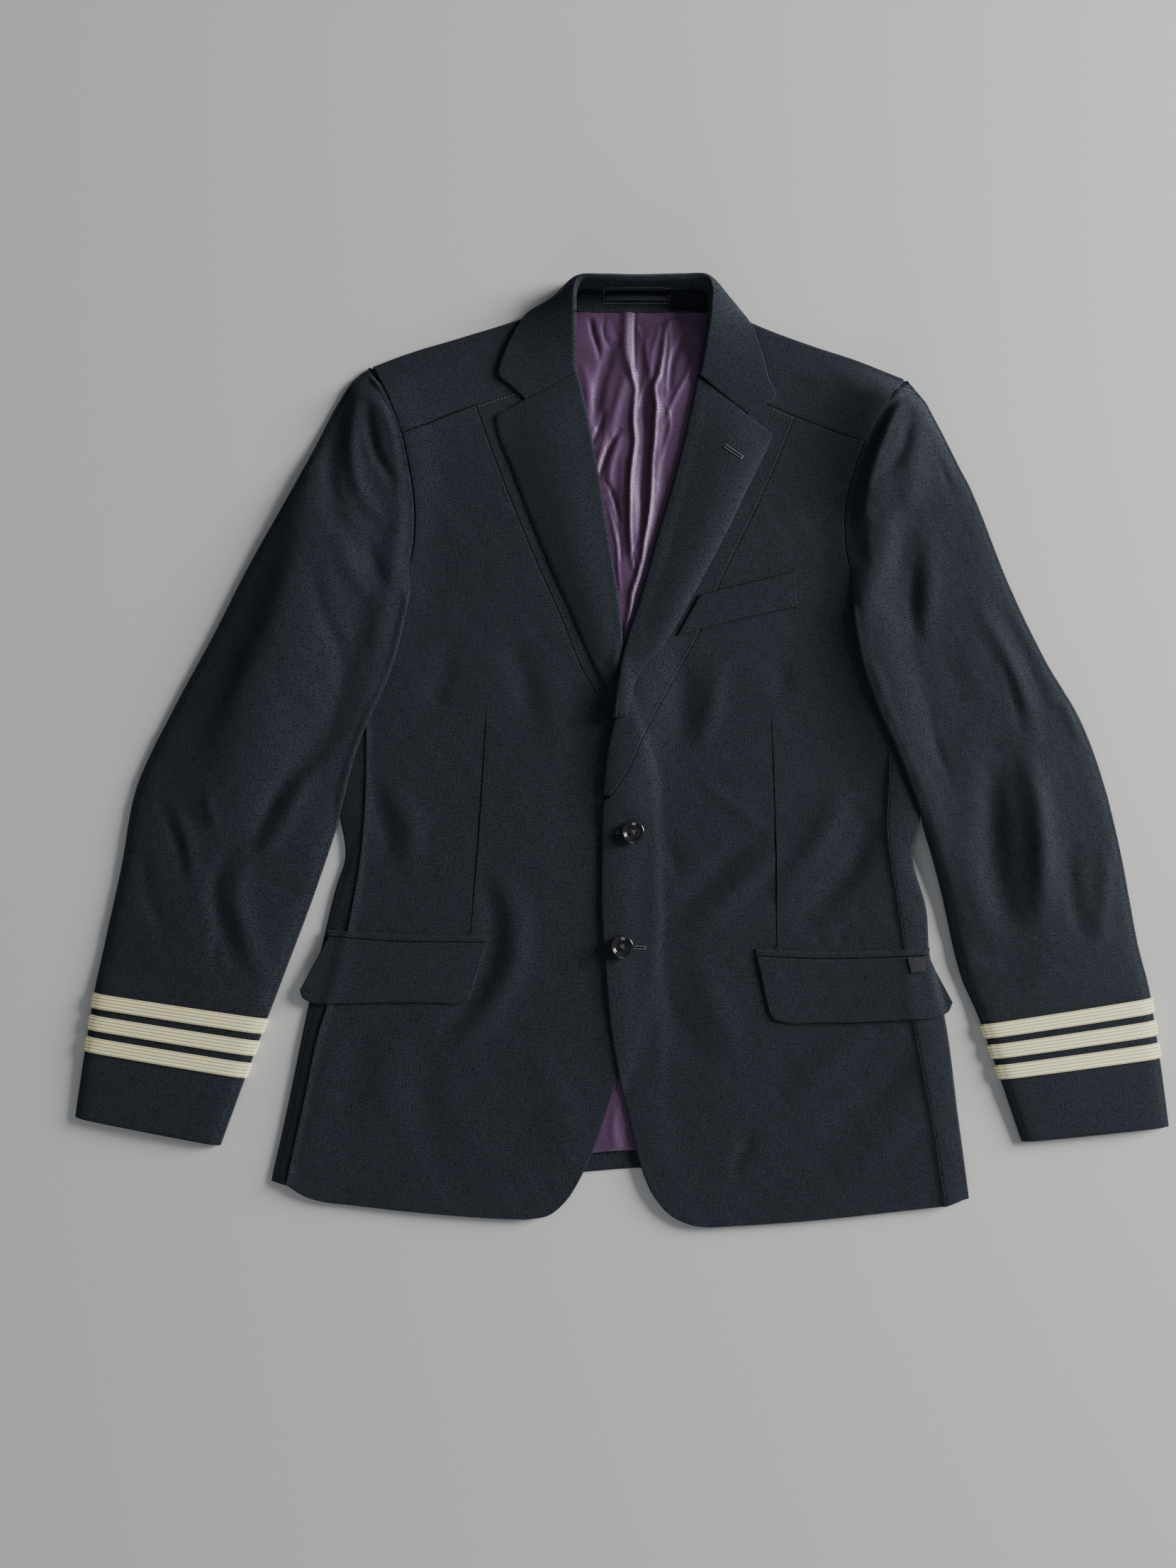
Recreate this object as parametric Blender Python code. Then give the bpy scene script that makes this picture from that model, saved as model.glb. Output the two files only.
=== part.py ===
"""Pilot uniform jacket, single-breasted, laid flat on a surface with its front up.

Names use the jacket's own sides: its right half lies at -X and its left half at +X.
+Y runs towards the collar and +Z up from the surface. Sizes are in millimetres until a
mesh is made. Each cloth piece is a thin closed wall. Lower layers are laid first, and a
later piece is laid over the pile of the earlier ones.
"""

import math

import bmesh
import bpy
import numpy as np

MM = 0.001
# The tables' y at the middle of the jacket's length, which becomes the origin
CENTRE_Y = -3.7

WOOL = 1.5
LAPEL = 1.2
LINING = 1.0
BRAID = 1.0
TAB = 0.8
SEAM_GAP = 0.3
HIDDEN_GAP = 0.9
LAYER_GAP = 0.35

BODY_TOP = 6.0
FOLD_REACH = 3.5
SIDE_UNDER = 24.0
ROLL_REACH = 3.0
ROLL_LIP = 6.5
SLEEVE_TOP = 7.4
SLEEVE_CROWN = 1.6
CUFF_LIFT = 1.6
DRAPE_STEPS = (0.5,) * 16 + (1.0,) * 4

# Mesh rows and columns that neighbouring pieces share
SIDE_ROWS = 16
ARM_ROWS = 9
HEM_COLUMNS = 11
BAND_ROWS = 12
BAND_COLUMNS = 4
LAPEL_ROWS = 15
LINING_ROWS = 22
SLEEVE_ROWS = 16

BRAID_WIDTH = 13.0
BRAID_PITCH = 18.8
BRAID_RISE = 57.5
CUFF_ZONE = 108.1
BRAIDS = 3

BUTTON_RADIUS = 10.0
BUTTON_HEIGHT = 4.2
BUTTON_HOLE = 1.1
BUTTON_HOLE_OFFSET = 2.3

# Columns: outer x, outer y, inner x, inner y, share of the width that the underside leaf takes
SLEEVE_RIGHT = (
    (-469, -323, -345, -348, 0.20),
    (-454, -218, -306, -241, 0.20),
    (-446, -175, -292, -203, 0.22),
    (-433, -110, -268, -138, 0.26),
    (-421, -42, -247, -74, 0.32),
    (-390, 26, -229, -7, 0.42),
    (-357, 89, -204, 50, 0.55),
    (-327, 150, -190, 98, 0.58),
    (-296, 206, -180, 158, 0.65),
    (-274, 251, -180, 204, 0.62),
    (-254, 290, -188, 245, 0.60),
    (-236, 317, -200, 290, 0.60),
    (-225, 328, -212, 317, 0.60),
)
SLEEVE_LEFT = (
    (469, -338, 341, -350, 0.20),
    (456, -228, 308, -250, 0.20),
    (446, -178, 290, -203, 0.22),
    (434, -103, 275, -133, 0.26),
    (420, -39, 258, -72, 0.32),
    (401, 15, 237, -16, 0.42),
    (372, 67, 218, 28, 0.52),
    (342, 133, 203, 82, 0.53),
    (314, 209, 198, 156, 0.65),
    (298, 243, 199, 204, 0.62),
    (281, 277, 213, 260, 0.60),
    (268, 301, 229, 289, 0.60),
    (258, 315, 246, 311, 0.60),
)
# Row numbers in the sleeve tables: the cap, the underarm point and the back's armhole
CAP_START = 9
UNDERARM_ROW = 6.3
BACK_ARM_LOW, BACK_ARM_HIGH = 7.3, 11.2

# Body outlines, columns x and y, from the hem upwards or from the armhole inwards
SIDE_FOLD_RIGHT = ((-302, -378), (-292, -333), (-277, -258), (-271, -228), (-257, -165),
                   (-248, -128), (-241, -106), (-246, -67), (-254, -20), (-262, 30), (-267, 72))
SIDE_FOLD_LEFT = ((295, -398), (286, -326), (276, -243), (264, -188), (262, -150),
                  (252, -112), (251, -101), (255, -88), (262, -40), (272, 20), (280, 71))
SIDE_SEAM_RIGHT = ((-289, -381), (-273, -306), (-261, -249), (-254, -227), (-238, -165),
                   (-226, -92), (-223, -37), (-223, 30), (-222, 100))
SIDE_SEAM_LEFT = ((274, -404), (265, -343), (248, -245), (239, -161), (232, -112),
                  (229, -85), (231, -39), (233, 30), (235, 98))
ARMHOLE_RIGHT = ((-222, 100), (-200, 130), (-187, 170), (-185, 205), (-191, 245), (-197, 267))
ARMHOLE_LEFT = ((235, 98), (212, 130), (202, 172), (204, 210), (211, 245), (217, 263))
YOKE_SEAM_RIGHT = ((-197, 267), (-172, 276), (-153, 284), (-128, 294))
YOKE_SEAM_LEFT = ((217, 263), (190, 270), (172, 277), (154, 283))
BAND_TOP_RIGHT = ((-128, 294), (-110, 300), (-94, 306), (-50, 325))
BAND_TOP_LEFT = ((154, 283), (130, 294), (112, 303), (80, 322))
SHOULDER_RIGHT = ((-216, 326), (-190, 337), (-141, 352), (-88, 369), (-54, 383))
SHOULDER_LEFT = ((248, 316), (204, 334), (173, 344), (119, 365), (92, 380))
BAND_SEAM_RIGHT = ((-128, 294), (-110, 243), (-79, 164), (-51, 99), (-36, 61), (-17, 28),
                   (4, -12), (20, -42))
BAND_SEAM_LEFT = ((154, 283), (140, 249), (114, 192), (92, 148), (68, 92), (44, 48),
                  (19, 2), (1, -35), (-11, -52))
FRONT_EDGE_RIGHT = ((27, -48), (28, -110), (25, -180), (14, -240), (-6, -293))
FRONT_EDGE_LEFT = ((-18, -57), (-19, -99), (-19, -160), (-17, -190), (-12, -250), (-5, -293))
CUTAWAY_RIGHT = ((-6, -293), (-16, -323), (-28, -356), (-38, -377), (-50, -396), (-66, -409),
                 (-84, -412))
CUTAWAY_LEFT = ((-5, -293), (2, -323), (12, -365), (23, -392), (40, -411), (56, -418), (71, -420))
FRONT_HEM_RIGHT = ((-289, -381), (-273, -391), (-261, -395), (-231, -399), (-171, -406),
                   (-110, -411), (-84, -412))
FRONT_HEM_LEFT = ((274, -404), (253, -406), (192, -412), (131, -417), (71, -420))
ROLL_RIGHT = ((-38, 323), (-35, 312), (-27, 273), (-18, 222), (-11, 173), (-3, 123), (1, 79),
              (0, 48), (-2, 20))
ROLL_LEFT = ((68, 320), (66, 310), (58, 273), (46, 226), (30, 172), (14, 116), (1, 76),
             (-5, 44), (-9, 16))
LAPEL_EDGE_RIGHT = ((-111, 284), (-110, 274), (-96, 236), (-76, 183), (-48, 117), (-28, 70),
                    (-12, 36), (-8, 20))
LAPEL_EDGE_LEFT = ((134, 267), (131, 259), (114, 224), (92, 179), (67, 132), (38, 83), (14, 53),
                   (3, 16))
BAND_INNER_RIGHT = ((-50, 325), (-37, 273), (-28, 222), (-21, 173), (-13, 123), (-7, 79),
                    (10, 20), (27, -42))
BAND_INNER_LEFT = ((80, 322), (68, 273), (56, 226), (40, 172), (24, 116), (11, 76),
                   (-3, 28), (-13, -10), (-18, -51))
LINING_RIGHT = ((-52, -362), (-40, -330), (-34, -250), (-30, -100), (-28, 60), (-30, 120),
                (-36, 170), (-42, 220), (-50, 273), (-53, 330), (-50, 378))
LINING_LEFT = ((30, -354), (30, -330), (30, -250), (28, -100), (30, 60), (40, 120), (54, 170),
               (68, 220), (78, 273), (86, 330), (86, 378))
BACK_HEM = ((-278, -384), (-100, -377), (-36, -373), (13, -370), (100, -378), (271, -400))
BACK_TOP = ((-211, 316), (-141, 342), (-88, 359), (-54, 371), (-40, 392), (-30, 400), (16, 401),
            (64, 400), (78, 390), (91, 367), (119, 354), (173, 333), (240, 306))

# Columns: start x, start y, end x, end y, bow, half width, height (a trough is negative)
FRONT_FOLDS = (
    (-116, -98, -101, -159, 0, 14, -0.9),
    (-101, -159, -104, -225, 0, 13, -0.8),
    (-160, -60, -150, -150, 6, 22, 0.7),
    (-88, 90, -88, 45, 0, 12, -0.5),
    (132, -81, 43, -160, -4, 15, -1.0),
    (150, -60, 80, -135, 0, 17, 0.8),
    (66, 90, 66, 30, 0, 10, -0.5),
    (196, -131, 165, -170, 0, 14, -0.6),
    (-60, -250, -90, -390, 0, 18, 0.6),
    (90, -260, 120, -400, 0, 18, 0.6),
    (-196, 300, -150, 320, 0, 22, 1.0),
    (214, 292, 170, 312, 0, 22, 1.0),
)
SLEEVE_FOLDS_RIGHT = (
    (-226, 306, -184, 212, 5, 8, -2.4),
    (-236, 290, -215, 186, 6, 9, -2.0),
    (-266, 243, -323, 25, 5, 13, 2.4),
    (-264, 143, -232, 49, 0, 10, -1.6),
    (-224, 174, -216, 140, 0, 9, -1.0),
    (-256, -24, -314, -104, 5, 12, -2.2),
    (-235, -18, -300, -118, 0, 14, 1.6),
    (-326, -106, -338, -150, 5, 10, -1.8),
    (-350, -60, -372, -150, 0, 15, 1.7),
    (-395, -20, -420, -120, 0, 14, -1.0),
)
SLEEVE_FOLDS_LEFT = (
    (259, 271, 205, 198, -8, 8, -2.2),
    (236, 211, 204, 142, -4, 9, -1.7),
    (263, 173, 256, 85, 0, 9, -1.2),
    (280, 250, 330, 60, -5, 15, 2.2),
    (304, 160, 342, 48, -4, 10, -1.8),
    (322, -20, 352, -58, 3, 10, -1.6),
    (290, -10, 352, -90, 0, 15, 1.6),
    (381, -101, 407, -186, 0, 12, -1.6),
    (350, -110, 372, -190, 0, 14, 1.6),
    (286, -200, 311, -216, 0, 10, -1.2),
)
LINING_FOLDS = (
    (12, 362, 7, 92, 5, 5.0, 3.4),
    (36, 356, 4, 96, -3, 5.0, 3.0),
    (-20, 350, -8, 150, 3, 9, 1.2),
    (62, 350, 24, 170, 0, 9, 1.2),
    (-8, -305, -8, -350, 0, 6, 0.5),
)

# Columns: fold x, fold y, fold z, leaf edge x, leaf edge y, leaf edge z, stand foot z
COLLAR = (
    (-38.0, 323.6, 12.0, -84, 298.6, 9.0, 5.4),
    (-38.5, 327.0, 12.6, -96, 310, 9.0, 5.4),
    (-38.5, 333.0, 13.6, -108, 321, 9.0, 5.4),
    (-38.5, 345.0, 16.0, -104, 337, 9.2, 5.4),
    (-38.5, 358.0, 19.0, -97, 353, 9.4, 5.4),
    (-38.5, 371.0, 22.5, -89, 367, 9.4, 5.0),
    (-38.5, 384.0, 25.5, -80, 380, 4.6, 4.5),
    (-37.5, 393.0, 27.5, -61, 392, 2.4, 4.6),
    (-32.0, 398.5, 28.0, -42, 408, 2.4, 4.6),
    (-15.0, 397.5, 28.0, -17, 411, 2.4, 4.6),
    (19.0, 396.5, 28.0, 19, 411, 2.4, 4.6),
    (54.0, 398.0, 28.0, 56, 411, 2.4, 4.6),
    (71.5, 399.0, 28.0, 81, 409, 2.4, 4.6),
    (77.0, 392.0, 27.0, 101, 390, 2.4, 4.6),
    (77.0, 380.0, 24.5, 111, 376, 4.6, 4.5),
    (76.0, 366.0, 21.0, 118, 363, 9.4, 5.0),
    (74.0, 353.0, 18.0, 122, 350, 9.4, 5.4),
    (72.0, 341.0, 15.0, 127, 335, 9.2, 5.4),
    (70.0, 331.0, 13.5, 131, 318, 9.0, 5.4),
    (69.0, 326.0, 12.6, 137.5, 302, 9.0, 5.4),
    (68.4, 322.6, 12.2, 125, 292, 9.0, 5.4),
    (68.2, 320.8, 12.0, 112.5, 284.4, 9.0, 5.4),
)

# Outlines of the small pieces: columns x and y, given along one long edge and then the other
WELT_TOP = ((49, 119), (100, 132), (154, 145))
WELT_BOTTOM = ((47, 88), (100, 102), (154, 114))
JET_RIGHT_TOP = ((-255, -165.5), (-207, -169.5), (-117, -172))
JET_RIGHT_BOTTOM = ((-254, -171), (-207, -175), (-118, -177))
JET_LEFT_TOP = ((113, -184), (165, -187), (264, -184))
JET_LEFT_BOTTOM = ((114, -190), (165, -192.5), (262, -190))
FLAP_RIGHT_TOP = ((-254, -171.6), (-207, -175.6), (-118, -177.6))
FLAP_RIGHT_BOTTOM = ((-275, -214), (-268, -224), (-200, -227.5), (-140, -228), (-132, -226))
FLAP_LEFT_TOP = ((114, -190.6), (165, -193.1), (262, -190.6))
FLAP_LEFT_BOTTOM = ((125, -241), (134, -246), (200, -247), (270, -242), (281, -232))
LABEL_TOP = ((242, -192), (257, -191.5))
LABEL_BOTTOM = ((245, -205), (258, -204))
LOOP_LEFT, LOOP_RIGHT = -13.0, 43.0
LOOP_LOW, LOOP_HIGH = 388.4, 393.0
LOOP_UNDER = 4.4
FACING_LOW = ((-37.4, 379.4), (16, 378.8), (76, 379.4))
FACING_HIGH = ((-37.2, 391), (-31, 395), (16, 394.5), (70, 395), (75.6, 390))

# Columns: node name, x, y
BUTTONS = (
    ("button_upper", 8.0, -83.0),
    ("button_lower", -2.0, -181.0),
)

# Columns: red, green, blue, roughness, metallic
FINISH = {
    "wool": (0.012, 0.013, 0.018, 0.85, 0.0),
    "lining": (0.115, 0.045, 0.090, 0.45, 0.0),
    "braid": (0.62, 0.56, 0.36, 0.55, 0.0),
    "button": (0.010, 0.010, 0.012, 0.22, 0.0),
    "label": (0.020, 0.020, 0.030, 0.70, 0.0),
}


def clear_scene():
    for item in list(bpy.data.objects):
        bpy.data.objects.remove(item, do_unlink=True)


def finish(kind, name):
    red, green, blue, roughness, metallic = FINISH[kind]
    material = bpy.data.materials.new(name + "_" + kind)
    material.use_nodes = True
    shader = material.node_tree.nodes["Principled BSDF"]
    shader.inputs["Base Color"].default_value = (red, green, blue, 1.0)
    shader.inputs["Roughness"].default_value = roughness
    shader.inputs["Metallic"].default_value = metallic
    material.diffuse_color = (red, green, blue, 1.0)
    return material


def add_object(name, vertices, faces, kind):
    """Makes one named closed mesh from points in millimetres."""
    points = np.asarray(vertices, float).copy()
    points[:, 1] -= CENTRE_Y
    mesh = bpy.data.meshes.new(name)
    mesh.from_pydata((points * MM).tolist(), [], faces)
    work = bmesh.new()
    work.from_mesh(mesh)
    bmesh.ops.recalc_face_normals(work, faces=work.faces)
    work.to_mesh(mesh)
    work.free()
    mesh.shade_smooth()
    mesh.set_sharp_from_angle(angle=math.radians(50))
    mesh.materials.append(finish(kind, name))
    item = bpy.data.objects.new(name, mesh)
    bpy.context.scene.collection.objects.link(item)
    return item


def curve(points, count):
    """Even points along a smooth curve through the given ones (cubic, slopes from the neighbours)."""
    knots = np.asarray(points, float)
    chord = np.concatenate([[0.0], np.cumsum(np.linalg.norm(np.diff(knots, axis=0), axis=1))])
    slope = np.gradient(knots, chord, axis=0)
    fine = []
    for i in range(len(knots) - 1):
        span = chord[i + 1] - chord[i]
        u = np.linspace(0.0, 1.0, 20, endpoint=False)[:, None]
        fine.append((2 * u**3 - 3 * u**2 + 1) * knots[i] + (u**3 - 2 * u**2 + u) * span * slope[i]
                    + (3 * u**2 - 2 * u**3) * knots[i + 1] + (u**3 - u**2) * span * slope[i + 1])
    fine = np.vstack(fine + [knots[-1:]])
    run = np.concatenate([[0.0], np.cumsum(np.linalg.norm(np.diff(fine, axis=0), axis=1))])
    even = np.linspace(0.0, run[-1], count)
    return np.column_stack([np.interp(even, run, fine[:, k]) for k in range(knots.shape[1])])


def table_rows(table, places):
    """Reads a section table at fractional row numbers, smoothly from row to row."""
    rows = np.asarray(table, float)
    slope = np.gradient(rows, axis=0)
    low = np.clip(np.floor(places).astype(int), 0, len(rows) - 2)
    u = (places - low)[:, None]
    return ((2 * u**3 - 3 * u**2 + 1) * rows[low] + (u**3 - 2 * u**2 + u) * slope[low]
            + (3 * u**2 - 2 * u**3) * rows[low + 1] + (u**3 - u**2) * slope[low + 1])


def joined(*runs):
    """One run of points from several that share their ends."""
    return np.vstack([runs[0]] + [run[1:] for run in runs[1:]])


def run_shares(points):
    lengths = np.linalg.norm(np.diff(points, axis=0), axis=1)
    return np.concatenate([[0.0], np.cumsum(lengths)]) / lengths.sum()


def patch(first, last, start, end):
    """Coons patch. first and last are columns, start and end are the rows that close them."""
    t = ((run_shares(first) + run_shares(last)) / 2)[:, None, None]
    s = ((run_shares(start) + run_shares(end)) / 2)[None, :, None]
    corners = ((1 - s) * (1 - t) * first[0] + s * (1 - t) * last[0]
               + (1 - s) * t * first[-1] + s * t * last[-1])
    return ((1 - s) * first[:, None] + s * last[:, None]
            + (1 - t) * start[None] + t * end[None] - corners)


def edge_normal(edge, inside):
    """Unit normals of an edge's points, on the side of the row next to it."""
    tangent = np.gradient(edge, axis=0)
    normal = np.column_stack([-tangent[:, 1], tangent[:, 0]])
    normal /= np.linalg.norm(normal, axis=1, keepdims=True)
    side = np.sign(np.sum(normal * (inside - edge), axis=1, keepdims=True))
    return normal * side


def pull_in(grid, start=0.0, end=0.0, first=0.0, last=0.0):
    """Moves a plan grid's edges inward by their seam gaps."""
    moved = grid.copy()
    moved[0] += start * edge_normal(grid[0], grid[1])
    moved[-1] += end * edge_normal(grid[-1], grid[-2])
    moved[:, 0] += first * edge_normal(grid[:, 0], grid[:, 1])
    moved[:, -1] += last * edge_normal(grid[:, -1], grid[:, -2])
    return moved


def fold_height(x, y, table):
    """Soft ridges and troughs: a bell curve across each line, fading past its ends."""
    total = np.zeros_like(x)
    for x0, y0, x1, y1, bow, width, height in table:
        length = math.hypot(x1 - x0, y1 - y0)
        along = ((x - x0) * (x1 - x0) + (y - y0) * (y1 - y0)) / length
        across = ((x - x0) * (y1 - y0) - (y - y0) * (x1 - x0)) / length
        share = np.clip(along / length, 0.0, 1.0)
        across = across + 4.0 * bow * share * (1.0 - share)
        beyond = np.maximum(0.0, np.maximum(-along, along - length))
        total += height * np.exp(-(across / width)**2 - (beyond / (1.4 * width))**2)
    return total


class Pile:
    """Height of the highest cloth laid so far, on a plan raster."""

    CELL = 2.0
    LEFT, LOW = -520.0, -470.0
    COLUMNS, ROWS = 520, 470

    def __init__(self):
        self.top = np.zeros((self.ROWS, self.COLUMNS))

    def cells(self, x, y):
        column = np.clip(((x - self.LEFT) / self.CELL).astype(int), 0, self.COLUMNS - 1)
        row = np.clip(((y - self.LOW) / self.CELL).astype(int), 0, self.ROWS - 1)
        return row, column

    def add(self, grid):
        for points, _, _ in samples(grid, 1.4):
            row, column = self.cells(points[..., 0], points[..., 1])
            np.maximum.at(self.top, (row, column), points[..., 2])

    def at(self, x, y):
        row, column = self.cells(x, y)
        height = self.top[row, column]
        for step_r, step_c in ((-1, 0), (1, 0), (0, -1), (0, 1)):
            near_r = np.clip(row + step_r, 0, self.ROWS - 1)
            near_c = np.clip(column + step_c, 0, self.COLUMNS - 1)
            height = np.maximum(height, self.top[near_r, near_c])
        return height


def samples(grid, spacing):
    """Points spread over a grid's triangles, with each one's triangle corners and weights."""
    n, m = grid.shape[:2]
    i, j = np.meshgrid(np.arange(n - 1), np.arange(m - 1), indexing="ij")
    longest = [np.linalg.norm(np.diff(grid[..., :2], axis=k), axis=2).max() for k in (0, 1)]
    steps_u, steps_v = (min(26, max(3, int(length / spacing))) for length in longest)
    for a in range(steps_u + 1):
        for b in range(steps_v + 1):
            u, v = a / steps_u, b / steps_v
            if v <= u:
                corners = ((i, j), (i + 1, j), (i + 1, j + 1))
                weights = (1 - u, u - v, v)
            else:
                corners = ((i, j), (i, j + 1), (i + 1, j + 1))
                weights = (1 - v, v - u, u)
            points = sum(w * grid[c] for w, c in zip(weights, corners))
            yield points, corners, weights


def drape(plan, wanted, pile):
    """Underside heights of a cloth grid: the wanted ones, raised just clear of the pile."""
    here = pile.at(plan[..., 0], plan[..., 1])
    grid = np.dstack([plan, np.where(here > 0.0, np.maximum(wanted, here + LAYER_GAP), wanted)])
    for share in DRAPE_STEPS:
        raise_by = np.zeros(wanted.shape)
        for points, corners, weights in samples(grid, 2.0):
            clear = pile.at(points[..., 0], points[..., 1])
            lack = np.where(clear > 0.0, clear + LAYER_GAP - points[..., 2], 0.0)
            lack = share * np.maximum(lack, 0.0) / sum(w * w for w in weights)
            for weight, corner in zip(weights, corners):
                np.maximum.at(raise_by, corner, lack * weight)
        grid[..., 2] += raise_by
    return grid[..., 2]


def with_height(plan, height):
    return np.dstack([plan, height])


def sheet(name, outer, inner, kind):
    """Closed wall between an outer and an inner skin, which are grids of the same size."""
    n, m = outer.shape[:2]
    count = n * m
    faces = []

    def corner(i, j, skin):
        return skin * count + i * m + j

    for i in range(n - 1):
        for j in range(m - 1):
            for skin in (0, 1):
                a, b = corner(i, j, skin), corner(i + 1, j, skin)
                c, d = corner(i + 1, j + 1, skin), corner(i, j + 1, skin)
                faces += [(a, b, c), (a, c, d)]
    rim = [(i, 0) for i in range(n)] + [(n - 1, j) for j in range(1, m)]
    rim += [(i, m - 1) for i in range(n - 2, -1, -1)] + [(0, j) for j in range(m - 2, 0, -1)]
    for (i, j), (k, l) in zip(rim, rim[1:] + rim[:1]):
        faces.append((corner(i, j, 0), corner(k, l, 0), corner(k, l, 1), corner(i, j, 1)))
    points = np.vstack([outer.reshape(-1, 3), inner.reshape(-1, 3)])
    return add_object(name, points, faces, kind)


def slab(name, plan, under, thickness, kind):
    """Cloth wall over a plan grid, from its underside heights."""
    top = with_height(plan, under + thickness)
    sheet(name, top, with_height(plan, under), kind)
    return top


def nose(top, low, outward, reach, thickness):
    """Rounded edge of a fold, from the upper leaf's edge round to the lower leaf's."""
    centre = (top + low) / 2
    half = (top[:, 2] - low[:, 2]) / 2
    outer, inner = [], []
    for angle in (math.radians(52), 0.0, math.radians(-52)):
        for skin, cut in ((outer, 0.0), (inner, thickness)):
            point = centre.copy()
            point[:, :2] += outward * ((reach - cut) * math.cos(angle))
            point[:, 2] += (half - cut) * math.sin(angle)
            skin.append(point)
    return np.stack(outer, axis=1), np.stack(inner, axis=1)


def leaf_plan(start, end, shares):
    """Plan grid of straight rows between two edges."""
    s = np.asarray(shares)[None, :, None]
    return start[:, None] * (1 - s) + end[:, None] * s


def shifted(grid, rise):
    moved = grid.copy()
    moved[..., 2] += rise
    return moved


def body_height(x, y):
    """Top skin of the front half's panels."""
    return BODY_TOP + fold_height(x, y, FRONT_FOLDS)


def body_panel(name, plan, pile):
    wanted = body_height(plan[..., 0], plan[..., 1]) - WOOL
    return slab(name, plan, drape(plan, wanted, pile), WOOL, "wool")


def build_back():
    """Back: one plain wall on the surface, with its neck, armholes and hem."""
    columns = len(BACK_HEM) * 2 + 1
    sides = []
    for fold, arm_table in ((SIDE_FOLD_RIGHT, SLEEVE_RIGHT), (SIDE_FOLD_LEFT, SLEEVE_LEFT)):
        edge = curve(fold, SIDE_ROWS)
        toward = np.array([-np.sign(edge[0, 0]), 0.0])
        seam = edge + (SIDE_UNDER + HIDDEN_GAP) * toward
        rows = table_rows(arm_table, np.linspace(BACK_ARM_LOW, BACK_ARM_HIGH, 7))
        width = rows[:, 2:4] - rows[:, 0:2]
        arm = rows[:, 0:2] + width * rows[:, 4:5] + toward * 2.0
        sides.append(joined(seam[:-1], np.vstack([seam[-2:-1], arm])))
    start = curve(np.vstack([sides[0][0], BACK_HEM[1:-1], sides[1][0]]), columns)
    end = curve(np.vstack([sides[0][-1], BACK_TOP[1:-1], sides[1][-1]]), columns)
    plan = patch(sides[0], sides[1], start, end)
    return slab("back", plan, np.zeros(plan.shape[:2]), WOOL, "wool")


def build_lining(pile):
    """Back lining, where the neck and the gap under the cutaway show it."""
    columns = 17
    first, last = curve(LINING_RIGHT, LINING_ROWS), curve(LINING_LEFT, LINING_ROWS)
    start = curve((first[0], (-28, -357), (8, -354.5), last[0]), columns)
    end = curve((first[-1], (16, 377.5), last[-1]), columns)
    plan = patch(first, last, start, end)
    wanted = WOOL + LAYER_GAP + fold_height(plan[..., 0], plan[..., 1], LINING_FOLDS)
    return slab("back_lining", plan, drape(plan, wanted, pile), LINING, "lining")


def build_neck(pile):
    """Facing across the back of the neck, and the loop sewn on it."""
    low = curve(FACING_LOW, 11)
    high = curve(FACING_HIGH, 11)
    plan = leaf_plan(low, high, (0.0, 0.5, 1.0))
    wanted = np.full(plan.shape[:2], WOOL + 2 * LAYER_GAP)
    facing = slab("neck_facing", plan, drape(plan, wanted, pile), WOOL, "wool")
    pile.add(facing)
    columns = 9
    across = np.linspace(LOOP_LEFT, LOOP_RIGHT, columns)
    low = np.column_stack([across, np.full(columns, LOOP_LOW)])
    high = np.column_stack([across, np.full(columns, LOOP_HIGH)])
    plan = leaf_plan(low, high, (0.0, 1.0))
    arch = np.sin(np.linspace(0.0, math.pi, columns))[:, None] * np.ones((1, 2))
    slab("hanger_loop", plan, drape(plan, LOOP_UNDER + arch, pile), LAPEL, "wool")


def side_panel(name, fold_points, seam_points, pile):
    """Side panel: on top from the side seam to the fold, then under, on the surface."""
    fold, seam = curve(fold_points, SIDE_ROWS), curve(seam_points, SIDE_ROWS)
    tangent = np.gradient(fold, axis=0)
    inward = np.column_stack([tangent[:, 1], -tangent[:, 0]])
    inward /= np.linalg.norm(inward, axis=1, keepdims=True)
    inward *= np.sign(np.sum(inward * (seam - fold), axis=1, keepdims=True))
    edge = fold + inward * FOLD_REACH
    upper = leaf_plan(seam, edge, (0.0, 0.5, 1.0))
    upper = pull_in(upper, first=SEAM_GAP / 2)
    level = np.array([-np.sign(fold[0, 0]), 0.0])
    lower = leaf_plan(edge, fold + level * SIDE_UNDER, (0.0, 1.0))
    height = body_height(upper[..., 0], upper[..., 1])
    top = with_height(upper, height)
    low = with_height(lower, np.zeros(lower.shape[:2]))
    nose_outer, nose_inner = nose(top[:, -1], low[:, 0], -inward, FOLD_REACH, WOOL)
    outer = np.concatenate([top, nose_outer, low], axis=1)
    inner = np.concatenate([shifted(top, -WOOL), nose_inner, shifted(low, WOOL)], axis=1)
    sheet(name, outer, inner, "wool")
    return outer


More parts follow.
